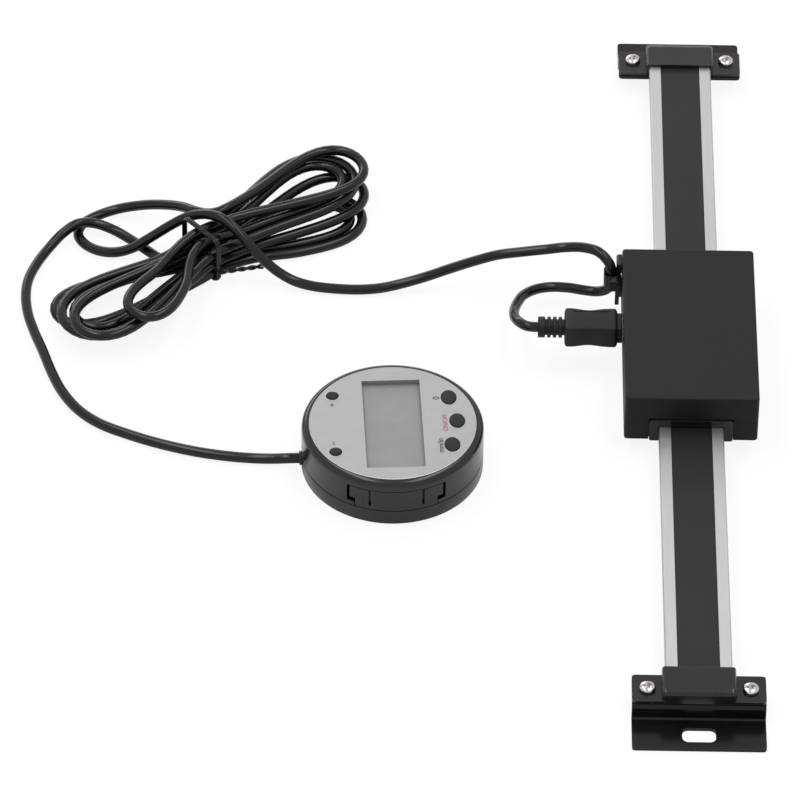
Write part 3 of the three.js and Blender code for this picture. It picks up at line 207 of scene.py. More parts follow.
def brushed_lines():
    """Fine parallel lines along one direction of the piece."""
    tree, given, made = effect(
        "brushed lines", {"Across": 9000.0, "Along": 60.0, "Turned": 0.0}, ("Tone", "Height")
    )
    swung = node_in(
        tree, "ShaderNodeVectorRotate", {"rotation_type": "Z_AXIS"}, Vector=own_place(tree),
        Angle=given["Turned"],
    ).outputs[0]
    scales = [given[label] for label in ("Across", "Along", "Across")]
    scale = in_order(tree, "ShaderNodeCombineXYZ", scales)[0]
    stretched = in_order(tree, "ShaderNodeVectorMath", (swung, scale), operation="MULTIPLY")[0]
    lines = noise(tree, stretched, 1.0, 4.0, 0.7)
    feed(tree, made["Tone"], ranged(tree, lines, 0.25, 0.75))
    feed(tree, made["Height"], lines)
    return tree


def settled_dust():
    """Small scattered specks."""
    tree, given, made = effect("settled dust", {"Spacing": 250.0, "Share": 0.03}, ("Speck",))
    cells = node_in(
        tree, "ShaderNodeTexVoronoi", {"feature": "F1"}, Vector=own_place(tree),
        Scale=given["Spacing"],
    )
    chosen = node_in(tree, "ShaderNodeSeparateColor", Color=cells.outputs["Color"])
    kept = maths(tree, "LESS_THAN", chosen.outputs[0], given["Share"])
    near = ranged(tree, cells.outputs["Distance"], 0.05, 0.11, 1.0, 0.0)
    feed(tree, made["Speck"], maths(tree, "MULTIPLY", near, kept, clamp=True))
    return tree


def upright_faces():
    """A mask that is one where the surface turns away from level."""
    tree, given, made = effect("upright faces", {"Upright": 0.4, "Level": 0.9}, ("Side",))
    facing = node_in(tree, "ShaderNodeTexCoord").outputs["Normal"]
    up = maths(tree, "ABSOLUTE", node_in(tree, "ShaderNodeSeparateXYZ", Vector=facing).outputs[2])
    feed(tree, made["Side"], ranged(tree, up, given["Upright"], given["Level"], 1.0, 0.0))
    return tree


EFFECTS = {
    "grain": moulded_grain(),
    "sides": upright_faces(),
    "edges": highlighted_edges(),
    "lines": brushed_lines(),
    "dust": settled_dust(),
}


def use(tree, name, **inputs):
    node = tree.nodes.new("ShaderNodeGroup")
    node.node_tree = EFFECTS[name]
    for label, value in inputs.items():
        node.inputs[label.replace("_", " ")].default_value = value
    return node.outputs


def shader_of(name, metallic=0.0, **sockets):
    made = bpy.data.materials.new(name)
    made.use_nodes = True
    shader = made.node_tree.nodes["Principled BSDF"]
    shader.inputs["Metallic"].default_value = metallic
    for label, value in sockets.items():
        shader.inputs[label.replace("_", " ")].default_value = value
    return made, made.node_tree, shader.inputs


def grey(level):
    return (level, level, level, 1.0)


def bump(tree, socket, height, strength, depth):
    node = node_in(tree, "ShaderNodeBump", Strength=strength, Distance=depth * MM, Height=height)
    feed(tree, socket, node.outputs["Normal"])


def moulded(
    name, dark, light, smooth, rough, highlight_tone=None, grain=2500.0, depth=0.03, specks=0.02, **sockets
):
    """Black plastic or paint: cloudy tone, fine grain, a painted highlight on its edges and a few
    specks.
    """
    made, tree, shader = shader_of(name, **sockets)
    skin = use(tree, "grain", Grain_size=grain, Cloud_size=45.0)
    colour = tinted(tree, ranged(tree, skin["Cloud"], 0.3, 0.7), dark, light)
    # Painted highlight: sharp edges are lightened towards the given tone, as where they catch the
    # light.
    edge = use(tree, "edges", Reach=0.00035, Breaks=500.0)["Edge"]
    colour = tinted(tree, maths(tree, "MULTIPLY", edge, 0.5), colour, highlight_tone or light)
    speck = use(tree, "dust", Spacing=220.0, Share=specks)["Speck"]
    colour = tinted(tree, maths(tree, "MULTIPLY", speck, 0.5), colour, grey(0.3))
    feed(tree, shader["Base Color"], colour)
    feed(tree, shader["Roughness"], ranged(tree, skin["Cloud"], 0.25, 0.75, smooth, rough))
    bump(tree, shader["Normal"], skin["Height"], 0.35, depth)
    return made


def brushed(
    name, dark, light, smooth, rough, swing=0.0, along=60.0, across=9000.0, cut_highlight=None, **sockets
):
    """Metal with fine lines, and where it is given, a painted highlight tone on its cut edges and
    sloped faces.
    """
    made, tree, shader = shader_of(name, metallic=1.0, **sockets)
    lines = use(tree, "lines", Across=across, Along=along, Turned=swing)
    cloud = use(tree, "grain", Grain_size=1500.0, Cloud_size=30.0)["Cloud"]
    tone = maths(tree, "MULTIPLY", lines["Tone"], 0.7)
    share = maths(tree, "ADD", tone, maths(tree, "MULTIPLY", cloud, 0.3))
    colour = tinted(tree, share, dark, light)
    # Painted highlight: faces that turn away from level, such as cut edges and the lips round the
    # keys, are lightened to the given tone.
    if cut_highlight:
        edge = use(tree, "sides", Upright=0.955, Level=0.99)["Side"]
        colour = tinted(tree, edge, colour, cut_highlight)
    feed(tree, shader["Base Color"], colour)
    feed(tree, shader["Roughness"], ranged(tree, share, 0.2, 0.8, smooth, rough))
    bump(tree, shader["Normal"], lines["Height"], 0.15, 0.01)
    return made


def speckled(
    name, dark, light, smooth, rough, size=1200.0, depth=0.01, metallic=0.0, **sockets
):
    """A plain finish whose tone and gloss vary a little at one scale."""
    made, tree, shader = shader_of(name, metallic=metallic, **sockets)
    skin = use(tree, "grain", Grain_size=size * 3, Cloud_size=size)
    share = ranged(tree, skin["Cloud"], 0.3, 0.7)
    feed(tree, shader["Base Color"], tinted(tree, share, dark, light))
    feed(tree, shader["Roughness"], ranged(tree, share, 0.0, 1.0, smooth, rough))
    bump(tree, shader["Normal"], skin["Height"], 0.2, depth)
    return made


def clear_window():
    """Clear on its faces, and ground grey round its upright sides."""
    made, tree, shader = shader_of("clear window", Roughness=0.06, Specular_IOR_Level=0.3)
    skin = use(tree, "grain", Grain_size=900.0, Cloud_size=40.0)
    side = use(tree, "sides")["Side"]
    clear = tinted(tree, skin["Cloud"], grey(0.25), grey(0.32))
    ground = tinted(tree, skin["Cloud"], grey(0.15), grey(0.19))
    feed(tree, shader["Base Color"], tinted(tree, side, clear, ground))
    feed(tree, shader["Alpha"], ranged(tree, side, 0.0, 1.0, 0.14, 1.0))
    return made


FINISH = {
    "cast_metal": brushed(
        "ground aluminium", grey(0.385), grey(0.46), 0.38, 0.5, along=40.0, across=5000.0
    ),
    "black_strip": moulded(
        "strip film", grey(0.009), grey(0.0115), 0.42, 0.5, specks=0.01, depth=0.01,
        Specular_IOR_Level=0.2,
    ),
    "black_sheet": moulded(
        "black paint", grey(0.004), grey(0.006), 0.16, 0.28, highlight_tone=grey(0.08), grain=900.0,
        depth=0.02, specks=0.06, Specular_IOR_Level=0.22,
    ),
    "bright_screw": speckled(
        "bright plating", (0.4, 0.37, 0.37, 1.0), (0.62, 0.58, 0.57, 1.0), 0.08, 0.2,
        metallic=1.0,
    ),
    "dark_plastic": moulded(
        "charcoal moulding", grey(0.0075), grey(0.0095), 0.5, 0.58, highlight_tone=grey(0.035),
        specks=0.015, Specular_IOR_Level=0.15,
    ),
    "black_plastic": moulded(
        "black moulding", grey(0.005), grey(0.008), 0.15, 0.22, highlight_tone=grey(0.03), specks=0.01,
        depth=0.01, Specular_IOR_Level=0.38,
    ),
    "silver_plate": brushed(
        "silver plate", grey(0.31), grey(0.385), 0.36, 0.46, swing=math.radians(90),
        # painted highlight on the plate's cut edges and on the lips round its keys
        cut_highlight=grey(0.85),
    ),
    "clear_lens": clear_window(),
    "liquid_crystal": speckled(
        "liquid crystal", grey(0.315), (0.355, 0.355, 0.347, 1.0), 0.3, 0.4, size=150.0,
        Specular_IOR_Level=0.3,
    ),
    "circuit_board": speckled(
        "circuit board", (0.01, 0.07, 0.025, 1.0), (0.02, 0.12, 0.04, 1.0), 0.35, 0.6
    ),
    "white_plastic": speckled("white moulding", grey(0.66), grey(0.74), 0.45, 0.6),
    "spring_steel": speckled("plain steel", grey(0.42), grey(0.56), 0.22, 0.4, metallic=1.0),
    "cable_jacket": speckled(
        "cable jacket", grey(0.004), grey(0.007), 0.15, 0.2, size=240.0, depth=0.003,
        Specular_IOR_Level=0.28,
    ),
}
CLAMP_PAINT = moulded(
    "clamp paint", grey(0.008), grey(0.012), 0.18, 0.28, highlight_tone=grey(0.12), grain=900.0,
    depth=0.02, specks=0.06, Specular_IOR_Level=0.32,
)
GRIP = moulded(
    "grip moulding", grey(0.007), grey(0.01), 0.42, 0.52, highlight_tone=grey(0.04), grain=4500.0,
    specks=0.01, Specular_IOR_Level=0.2,
)
KEYCAP = moulded(
    "key moulding", grey(0.015), grey(0.019), 0.45, 0.55, grain=5000.0, specks=0.0,
    Specular_IOR_Level=0.15,
)
RED_PRINT = speckled("red print", (0.35, 0.05, 0.12, 1.0), (0.42, 0.08, 0.16, 1.0), 0.4, 0.6)
DARK_PRINT = speckled("dark print", grey(0.012), grey(0.02), 0.4, 0.6)

# Making and placing pieces

SLOT_OF = {part["node"]: part["material_slot"] for part in frame["record"]["subparts"]}
BODY_OF = {
    node: body for body, nodes in frame["record"]["behaviour"]["bodies"].items() for node in nodes
}
SHARP = math.radians(38)
PAST = 2  # how far a cut runs past what it cuts
KEPT_OFF = 0.05  # keeps a joined form off a face that it would share
FINE_EDGE = 0.1
CORNERS = ((1, 1), (-1, 1), (-1, -1), (1, -1))
LAID = Matrix.Rotation(math.radians(-90), 4, "Y")  # turns upright forms to point along -X


def placed(name, mesh, material):
    piece = added(name, mesh)
    mesh.materials.clear()
    mesh.materials.append(material)
    mesh.polygons.foreach_set("use_smooth", [True] * len(mesh.polygons))
    mesh.polygons.foreach_set("material_index", [0] * len(mesh.polygons))
    mesh.set_sharp_from_angle(angle=SHARP)
    return piece


def dress(name, mesh, node, material=None, rounded=0.0, segments=3):
    """A new piece that stands for one of the frame's nodes and moves with its body."""
    slot = SLOT_OF[node]
    piece = placed(name, mesh, material or FINISH[slot])
    if rounded:
        edge = piece.modifiers.new("rounded edges", "BEVEL")
        edge.width = rounded * MM
        edge.segments = segments
        edge.limit_method = "ANGLE"
        edge.angle_limit = SHARP
        flat = piece.modifiers.new("flat faces", "WEIGHTED_NORMAL")
        flat.keep_sharp = True
    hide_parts(node)
    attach(piece, BODY_OF[node])
    return piece


def mesh_of(form, name):
    bmesh.ops.recalc_face_normals(form, faces=form.faces)
    mesh = bpy.data.meshes.new(name)
    form.to_mesh(mesh)
    form.free()
    return mesh


def eased(node, rounded, material=None):
    """A node's own form, cleaned of the seams between its facets and rounded at its edges."""
    form = bmesh.new()
    form.from_mesh(frame["nodes"][node].data)
    bmesh.ops.remove_doubles(form, verts=form.verts, dist=1e-6)
    bmesh.ops.dissolve_limit(
        form, angle_limit=math.radians(0.5), verts=form.verts, edges=form.edges
    )
    name = f"{node}_dressed"
    return dress(name, mesh_of(form, name), node, material=material, rounded=rounded)


def ring_of(form, points):
    return [form.verts.new(point) for point in points]


def skin(form, rings, capped=True):
    """Faces between rings of vertices, and a cap on each end."""
    for one, other in zip(rings, rings[1:]):
        for k, corner in enumerate(one):
            after = (k + 1) % len(one)
            form.faces.new((corner, one[after], other[after], other[k]))
    if capped:
        form.faces.new(rings[0][::-1])
        form.faces.new(rings[-1])


def lathe(profile, steps):
    """A solid turned about the Z axis from pairs of radius and height in millimetres; the first
    and the last pair lie on the axis."""
    form = bmesh.new()
    angles = [TURN * k / steps for k in range(steps)]
    rings = [
        ring_of(form, [Vector((r * math.cos(a), r * math.sin(a), z)) * MM for a in angles])
        for r, z in profile[1:-1]
    ]
    skin(form, rings, capped=False)
    for ring, (_, height) in ((rings[0], profile[0]), (rings[-1], profile[-1])):
        pole = form.verts.new((0, 0, height * MM))
        for k, corner in enumerate(ring):
            form.faces.new((corner, ring[(k + 1) % steps], pole))
    return form


def arc(cx, cy, radius, start, end, steps):
    """Points round part of a circle in a profile, both ends included, angles in degrees."""
    angles = [math.radians(start + (end - start) * i / steps) for i in range(steps + 1)]
    return [(cx + radius * math.cos(a), cy + radius * math.sin(a)) for a in angles]


def round_corners(per_corner=7):
    """Round an outline's four corners: each point's corner, and its way from that corner's
    middle."""
    for quarter, corner in enumerate(CORNERS):
        for k in range(per_corner):
            angle = math.radians(90 * quarter + 90 * k / (per_corner - 1))
            yield (*corner, math.cos(angle), math.sin(angle))


def block(low, high):
    form = bmesh.new()
    bmesh.ops.create_cube(form, size=1)
    low, high = Vector(low), Vector(high)
    form.transform(
        Matrix.Translation((low + high) / 2 * MM) @ Matrix.Diagonal((*((high - low) * MM), 1))
    )
    return form


def round_bar(diameter, low, high, x=0.0, y=0.0, steps=64):
    form = lathe([(0, low), (diameter / 2, low), (diameter / 2, high), (0, high)], steps)
    form.transform(shifted(x, y))
    return form


def finished_mesh(thing):
    bpy.context.view_layer.update()
    ready = thing.evaluated_get(bpy.context.evaluated_depsgraph_get())
    return bpy.data.meshes.new_from_object(ready)


def carved(form, cuts, name, joined=()):
    """A solid with others joined to it, and then others cut out of it."""
    blank = added("blank", mesh_of(form, "blank"))
    used = [blank]
    for operation, forms in (("UNION", joined), ("DIFFERENCE", cuts)):
        for tool_form in forms:
            tool = added("tool", mesh_of(tool_form, "tool"))
            used.append(tool)
            step = blank.modifiers.new("step", "BOOLEAN")
            step.operation = operation
            step.solver = "EXACT"
            step.object = tool
    mesh = finished_mesh(blank)
    mesh.name = name
    for thing in used:
        bpy.data.objects.remove(thing)
    return mesh


# Cable: the route's points and the hank's formula are the ones that its solids follow

CABLE = 3.5
FLOOR_GAP = 0.02
TIE_X, TIE_Y = -25.75, 33.775
TIE_TOP, TIE_MIDDLE = 17.3, 13.0
JOINT = 0.15
SUNK, BORE_DEPTH, BORE_RADIUS = 0.9, 1.2, 1.8  # the cable's ends in the grommet and the sleeve
RELIEF_END = -50.55
PLUG_Y, PLUG_Z = 7.15, 15.5
DISPLAY_X, DISPLAY_Y, DISPLAY_ANGLE = -98.5, -44.7, math.radians(3.45)
GROMMET_END, GROMMET_Z = 30.75, 3.4
HANK_X, HANK_Y, HANK_ANGLE = -161, 54, math.radians(42)
HANK_WAIST, HANK_STEP, HANK_LAYER = 1.05, 4.25, 4.05
HANK_LAYERS, TURNS_PER_LAYER, HANK_CLIMB = 4, 1.5, 0.1
HANK_LIFT, HANK_LIFT_LENGTH, HANK_FAN_START = 1.45, 9, 28
UPPER_REACHES, UPPER_WIDTHS, UPPER_LEANS = (52, 59, 56.5, 61), (17, 18, 19.6, 25), (-11, -4, 2, -6)
LOWER_REACHES, LOWER_WIDTHS, LOWER_LEANS = (56, 56, 59, 47), (15, 18.5, 18, 16), (-13, -2, 5, 19)
HANK_END, LAST_LOOP = 5.45, 5
HANK_SAMPLES = 72  # in each turn
WIRE_TIE_PLACE = -4
DISPLAY_LEAD = (
    (-170.4, 55.7, 3.2), (-172.8, 54.4, 2.8), (-175.8, 54.1, 2.3), (-179.2, 55.4, 2.1),
    (-183.8, 59.6, 2.1), (-189, 64.9, 1.8), (-195.4, 69.4, 2.5), (-202, 70.6, 4.4),
    (-207.6, 68.6, 5.9), (-212.4, 65, 4.8), (-217, 60, 2.4), (-221, 52, 1.77),
    (-223.4, 43.5, 1.77), (-223.8, 35, 1.77), (-222.6, 26, 1.77), (-220.1, 17, 1.77),
    (-216.6, 7, 1.77), (-213, -4, 1.77), (-208.8, -14, 1.77), (-203, -22.8, 1.77),
    (-195.7, -29.3, 1.77), (-186, -34.4, 1.77), (-175, -38.9, 1.77), (-163, -42.5, 1.77),
    (-152, -44.5, 1.77), (-143.5, -45.4, 1.9), (-137.5, -46.2, 2.6),
)
READER_LEAD = (
    (-156.8, 68, 14.2), (-159.7, 66.3, 13.9), (-163.4, 65.9, 13.6), (-166.9, 67.3, 13.2),
    (-171.4, 71.6, 11.4), (-177.4, 75.7, 8.9), (-185.5, 79, 5.9), (-194.8, 79.9, 3.1),
    (-202.4, 77.2, 1.8), (-206.6, 72.9, 1.77), (-207.6, 67.6, 1.77), (-205.3, 62.9, 1.77),
    (-200.6, 59.4, 1.8), (-194.4, 57.6, 2.6), (-188.6, 57.6, 4.6), (-184, 59.2, 6.8),
    (-180, 60.7, 8.8), (-175.2, 62, 11.6), (-170.3, 62.3, 14.6), (-165.6, 60.9, 17.3),
    (-161.2, 58.8, 18.8), (-157, 56.2, 18.9), (-152.6, 52.7, 17.1), (-148, 49.5, 13.3),
    (-143.2, 47, 8.9), (-138.2, 45, 5.4), (-133, 43.5, 3), (-127, 42.2, 2),
    (-119, 41.2, 1.77), (-110.5, 40.9, 1.8), (-103, 41.3, 2.4), (-96, 42.3, 3.7),
    (-88, 43.2, 6.1), (-80, 43.8, 9.3), (-72, 44, 12.6), (-64, 43.9, 15.6),
    (-56, 43.4, 17.5), (-48, 43, 19.1), (-41, 43, 20.2), (-35.1, 41, 21.9),
    (-30.4, 38.1, 22.7), (-27.7, 35.9, 21.6), (-26.1, 34.5, 19.5),
)
PLUG_LEAD = (
    (-26.1, 33.9, 10.9), (-27.7, 34.6, 8.6), (-30.3, 35.6, 7.1), (-34.5, 36.6, 6.7),
    (-40, 37.2, 7.2), (-45.8, 37.2, 7.4), (-51, 35.2, 8), (-55.1, 31.2, 8.8),
    (-57.2, 26, 9.9), (-58.3, 20.8, 11.2), (-58.4, 16, 12.8), (-57.6, 12.1, 14.2),
    (-56.2, 9.4, 15.1), (-54.4, 7.75, 15.4),
)


def smooth(x):
    x = min(max(x, 0), 1)
    return x * x * (3 - 2 * x)


def inner_loop(turns, layer):
    angle = TURN * turns
    above = math.sin(angle) > 0
    reach = (UPPER_REACHES if above else LOWER_REACHES)[layer]
    width = (UPPER_WIDTHS if above else LOWER_WIDTHS)[layer]
    across = math.cos(angle) * (HANK_WAIST + width * math.sin(angle) ** 2)
    return Vector((reach * math.sin(angle), across))


def hank_flat(turns, layer):
    """Along and across the hank: the spiral of one layer, or the last loop."""
    angle = TURN * turns
    if turns >= LAST_LOOP:
        reach = UPPER_REACHES[-1] + HANK_STEP * TURNS_PER_LAYER / 2
        shift = HANK_STEP * (0.5 + smooth((turns - LAST_LOOP) * 2))
        across = UPPER_WIDTHS[-1] * math.cos(angle) * math.sin(angle) ** 2
        return Vector((reach * math.sin(angle), HANK_WAIST + shift - across))
    heading = inner_loop(turns + 1e-4, layer) - inner_loop(turns - 1e-4, layer)
    heading.normalize()
    steps = abs(TURNS_PER_LAYER - turns % (2 * TURNS_PER_LAYER))
    return inner_loop(turns, layer) + Vector((-heading.y, heading.x)) * HANK_STEP * steps


def hank_place(along, across, up):
    x = HANK_X + along * math.cos(HANK_ANGLE) - across * math.sin(HANK_ANGLE)
    y = HANK_Y + along * math.sin(HANK_ANGLE) + across * math.cos(HANK_ANGLE)
    return Vector((x, y, up))


def hank_point(turns):
    layer = min(int(turns // TURNS_PER_LAYER), HANK_LAYERS - 1)
    flat = hank_flat(turns, layer)
    leans = UPPER_LEANS if flat.x > 0 else LOWER_LEANS
    lean = math.radians(leans[layer]) * smooth(abs(flat.x) / HANK_FAN_START)
    along = flat.x * math.cos(lean) - flat.y * math.sin(lean)
    across = flat.x * math.sin(lean) + flat.y * math.cos(lean)
    nearest = math.floor(turns / TURNS_PER_LAYER + 0.5)
    climbed = smooth((turns - nearest * TURNS_PER_LAYER) / HANK_CLIMB + 0.5)
    level = min(max(nearest - 1 + climbed, 0), HANK_LAYERS - 1)
    lift = HANK_LIFT * math.exp(-(((flat.x - WIRE_TIE_PLACE) / HANK_LIFT_LENGTH) ** 2))
    return hank_place(along, across, CABLE / 2 + FLOOR_GAP + level * HANK_LAYER + lift)


def winding():
    count = round(HANK_END * HANK_SAMPLES)
    middle = [hank_point(HANK_END * k / count) for k in range(count + 1)]
    first = middle[0] + (middle[0] - middle[1]).normalized() * CABLE
    last = middle[-1] + (middle[-1] - middle[-2]).normalized() * CABLE
    return [first, *middle, last]


def spline(points, per_span):
    """A centripetal curve through the points."""
    given = [Vector(p) for p in points]
    given = [2 * given[0] - given[1], *given, 2 * given[-1] - given[-2]]
    curve = []
    for four in zip(given, given[1:], given[2:], given[3:]):
        knots = [0.0]
        for one, other in zip(four, four[1:]):
            knots.append(knots[-1] + (other - one).length ** 0.5)
        for k in range(per_span):
            t = knots[1] + (knots[2] - knots[1]) * k / per_span
            level = list(four)
            for reach, starts in ((1, (0, 1, 2)), (2, (0, 1)), (1, (1,))):
                level = [
                    one.lerp(other, (t - knots[s]) / (knots[s + reach] - knots[s]))
                    for one, other, s in zip(level, level[1:], starts)
                ]
            curve.append(level[0])
    return [*curve, given[-2]]


def tube(path, diameter, sides):
    """A closed round tube along a path in metres, its rings carried without twisting."""
    form = bmesh.new()
    angles = [TURN * k / sides for k in range(sides)]
    rings = []
    normal = None
    for i, point in enumerate(path):
        heading = (path[min(i + 1, len(path) - 1)] - path[max(i - 1, 0)]).normalized()
        normal = normal or heading.orthogonal()
        normal = (normal - heading * normal.dot(heading)).normalized()
        other = heading.cross(normal)
        around = [normal * math.cos(a) + other * math.sin(a) for a in angles]
        rings.append(ring_of(form, [point + way * diameter / 2 * MM for way in around]))
    skin(form, rings)
    return form


def display_outlet(out):
    reach = GROMMET_END + out
    x = DISPLAY_X - reach * math.cos(DISPLAY_ANGLE)
    y = DISPLAY_Y - reach * math.sin(DISPLAY_ANGLE)
    return Vector((x, y, GROMMET_Z))


CABLE_SIDES, SPAN_STEPS = 16, 6


def make_cable():
    """The cable from the display through the hank to the tie on the reader head."""
    hank = winding()
    outlet = [display_outlet(-SUNK), display_outlet(CABLE)]
    tie = [(TIE_X, TIE_Y, TIE_TOP), (TIE_X, TIE_Y, TIE_MIDDLE + JOINT)]
    before = spline([*outlet, *reversed(DISPLAY_LEAD), hank[0]], SPAN_STEPS)
    after = spline([hank[-1], *READER_LEAD, *tie], SPAN_STEPS)
    path = [at(*p) for p in (*before[:-1], *hank, *after[1:])]
    mesh = mesh_of(tube(path, CABLE, CABLE_SIDES), "cable")
    cable = dress("cable", mesh, "cable_hank")
    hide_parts("cable_to_display", "cable_to_reader")
    return cable, path


def make_plug_lead():
    """The cable's last stretch, from the tie to the plug."""
    start = (TIE_X, TIE_Y, TIE_MIDDLE - JOINT)
    relief = [(RELIEF_END - out, PLUG_Y, PLUG_Z) for out in (CABLE / 2, -SUNK)]
    path = [at(*p) for p in spline([start, *PLUG_LEAD, *relief], SPAN_STEPS)]
    mesh = mesh_of(tube(path, CABLE, CABLE_SIDES), "lead_to_plug")
    lead = placed("lead_to_plug", mesh, FINISH["cable_jacket"])
    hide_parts("plug_lead")
    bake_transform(lead)
    return lead, path


cable, cable_path = make_cable()
lead_to_plug, lead_path = make_plug_lead()

# Beam, feet and their clamps

for node in ("beam", "grating_strip"):
    eased(node, 0.08)
for node in ("front_bracket", "rear_bracket"):
    eased(node, 0.16)
CLAMP_PLACE, CLAMP_START, CLAMP_END = 164.45, 0.3, 12.3
HAT_HALF_WIDTH, HAT_TOP, HAT_CORNER, CLAMP_SHEET = 11.8, 12.4, 1.2, 1.0
HAT_FRONT_FOLD, HAT_SIDE_FOLD, HAT_FOLD_HEIGHT, HAT_FOLD_STEPS = 2.3, 0.9, 1.5, 9
EAR_HALF_WIDTH, EAR_CORNER, EAR_BOTTOM = 21.3, 1.2, 7.5
EAR_HOLE, EAR_HOLE_X, EAR_HOLE_Y = 3.2, 16.35, 5.8


def clamp_outline(half, front, back, front_corner, back_corner, z):
    """A level outline with its own rounding at the front and at the back corners."""
    points = []
    for side, end, across, along in round_corners():
        edge, corner = (back, back_corner) if end > 0 else (front, front_corner)
        x = side * (half - corner) + corner * across
        y = edge - end * corner + corner * along
        points.append(Vector((x, y, z)) * MM)
    return points


def clamp_cover(node, y, turned):
    """A pressed sheet with a hat over the beam's end, softly folded down at its closed end."""
    hat = bmesh.new()
    folds = [math.radians(90 * k / HAT_FOLD_STEPS) for k in range(HAT_FOLD_STEPS + 1)]
    levels = [(0.0, EAR_BOTTOM)]
    levels += [(1 - math.cos(a), HAT_TOP - HAT_FOLD_HEIGHT * (1 - math.sin(a))) for a in folds]
    rings = []
    for drawn, z in levels:
        half = HAT_HALF_WIDTH - HAT_SIDE_FOLD * drawn
        front = CLAMP_START + HAT_FRONT_FOLD * drawn
        outline = clamp_outline(half, front, CLAMP_END, HAT_CORNER, FINE_EDGE, z)
        rings.append(ring_of(hat, outline))
    skin(hat, rings)
    ears = bmesh.new()
    ear_ends = (EAR_HALF_WIDTH, CLAMP_START, CLAMP_END, EAR_CORNER, EAR_CORNER)
    skin(ears, [
        ring_of(ears, clamp_outline(*ear_ends, z)) for z in (EAR_BOTTOM, EAR_BOTTOM + CLAMP_SHEET)
    ])
    inside = HAT_HALF_WIDTH - CLAMP_SHEET
    hollow = block(
        (-inside, CLAMP_START + CLAMP_SHEET, EAR_BOTTOM - PAST),
        (inside, CLAMP_END + PAST, HAT_TOP - CLAMP_SHEET),
    )
    through = (EAR_BOTTOM - PAST, EAR_BOTTOM + CLAMP_SHEET + PAST)
    holes = [
        round_bar(EAR_HOLE, *through, x, EAR_HOLE_Y, steps=40) for x in (-EAR_HOLE_X, EAR_HOLE_X)
    ]
    mesh = carved(hat, [hollow, *holes], f"{node}_cover", joined=[ears])
    mesh.transform(Matrix.Translation(at(0, y, 0)) @ Matrix.Rotation(turned, 4, "Z"))
    dress(f"{node}_cover", mesh, node, material=CLAMP_PAINT, rounded=0.2)


clamp_cover("front_clamp", -CLAMP_PLACE, 0)
clamp_cover("rear_clamp", CLAMP_PLACE, math.pi)

SCREW_HEAD, SCREW_DOME, SCREW_SHANK, SCREW_REACH = 5.2, 1.9, 2.6, 2.75
SCREW_SEAT = 8.55
SCREW_SIDE, SCREW_CROWN = 0.75, 0.3  # heights of the head's upright side and of its crown
CROWN_SHARE = 0.4  # of the head's radius
CROSS_DEPTH, CROSS_ABOVE, CROSS_TURN = 1.2, 0.5, 20
CROSS_TOP, CROSS_BOTTOM = (2.0, 0.551), (0.55, 0.3325)  # an arm's half-length and half-width


def cross_arm(angle):
    """One arm of the cross recess, which narrows towards its bottom."""
    form = bmesh.new()
    levels = (
        (SCREW_DOME + CROSS_ABOVE, *CROSS_TOP),
        (SCREW_DOME - CROSS_DEPTH, *CROSS_BOTTOM),
    )
    rings = [
        ring_of(form, [Vector((sx * x, sy * y, z)) * MM for sx, sy in CORNERS])
        for z, x, y in levels
    ]
    skin(form, rings)
    form.transform(Matrix.Rotation(math.radians(angle), 4, "Z"))
    return form


def pan_screw(node):
    """A pan head with a tapered cross recess, on a plain shank."""
    low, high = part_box(node)
    head = SCREW_HEAD / 2
    edge = SCREW_DOME - SCREW_CROWN - SCREW_SIDE
    profile = [
        (0, -SCREW_REACH), (SCREW_SHANK / 2, -SCREW_REACH), (SCREW_SHANK / 2, 0),
        (head - FINE_EDGE, 0), (head, FINE_EDGE),
        *arc(head - edge, SCREW_SIDE, edge, 0, 70, 8),
        (head * CROWN_SHARE, SCREW_DOME - SCREW_CROWN * CROWN_SHARE**2), (0, SCREW_DOME),
    ]
    cuts = [cross_arm(CROSS_TURN), cross_arm(CROSS_TURN + 90)]
    mesh = carved(lathe(profile, steps=40), cuts, f"{node}_head")
    mesh.transform(
        Matrix.Translation(((low.x + high.x) / 2, (low.y + high.y) / 2, SCREW_SEAT * MM))
    )
    dress(f"{node}_head", mesh, node, rounded=0.04, segments=2)


for node in [name for name in frame["nodes"] if "clamp_screw" in name]:
    pan_screw(node)

# Reader head

for node in ("reader_cover", "reader_base"):
    eased(node, 0.12)
for node in ("front_guide", "rear_guide"):
    eased(node, 0.2)
for node in ("cable_anchor", "cable_tie"):
    eased(node, 0.1)

# Plug

GRIP_REAR, GRIP_FRONT = -41.7, -24.0
GRIP_HALF_WIDTH, GRIP_HALF_HEIGHT, GRIP_WAIST = 5.55, 4.2, 0.42
GRIP_CORNER, GRIP_END = 0.8, 1.1
NECK_HALF_WIDTH, NECK_HALF_HEIGHT, NECK_END = 4.35, 3.3, -22.4
NECK_CORNER, NECK_EDGE, NECK_ROOT = 0.9, 0.15, 1
GRIP_LINE_START, GRIP_LINE_LENGTH, GRIP_LINE_Y = 3.0, 12.2, 3.4
GRIP_LINE_DEPTH, GRIP_LINE_HALF_WIDTH = 0.4, 0.2
GRIP_SCOOP, SCOOP_START, SCOOP_LENGTH = 0.9, 0.14, 0.62  # softer edges where fingers hold it


def plug_section(half_width, half_height, corner, x):
    """A rounded rectangle square to the plug's axis."""
    points = []
    for side, end, across, up in round_corners():
        y = side * (half_width - corner) + corner * across
        z = end * (half_height - corner) + corner * up
        points.append(at(x, PLUG_Y + y, PLUG_Z + z))
    return points


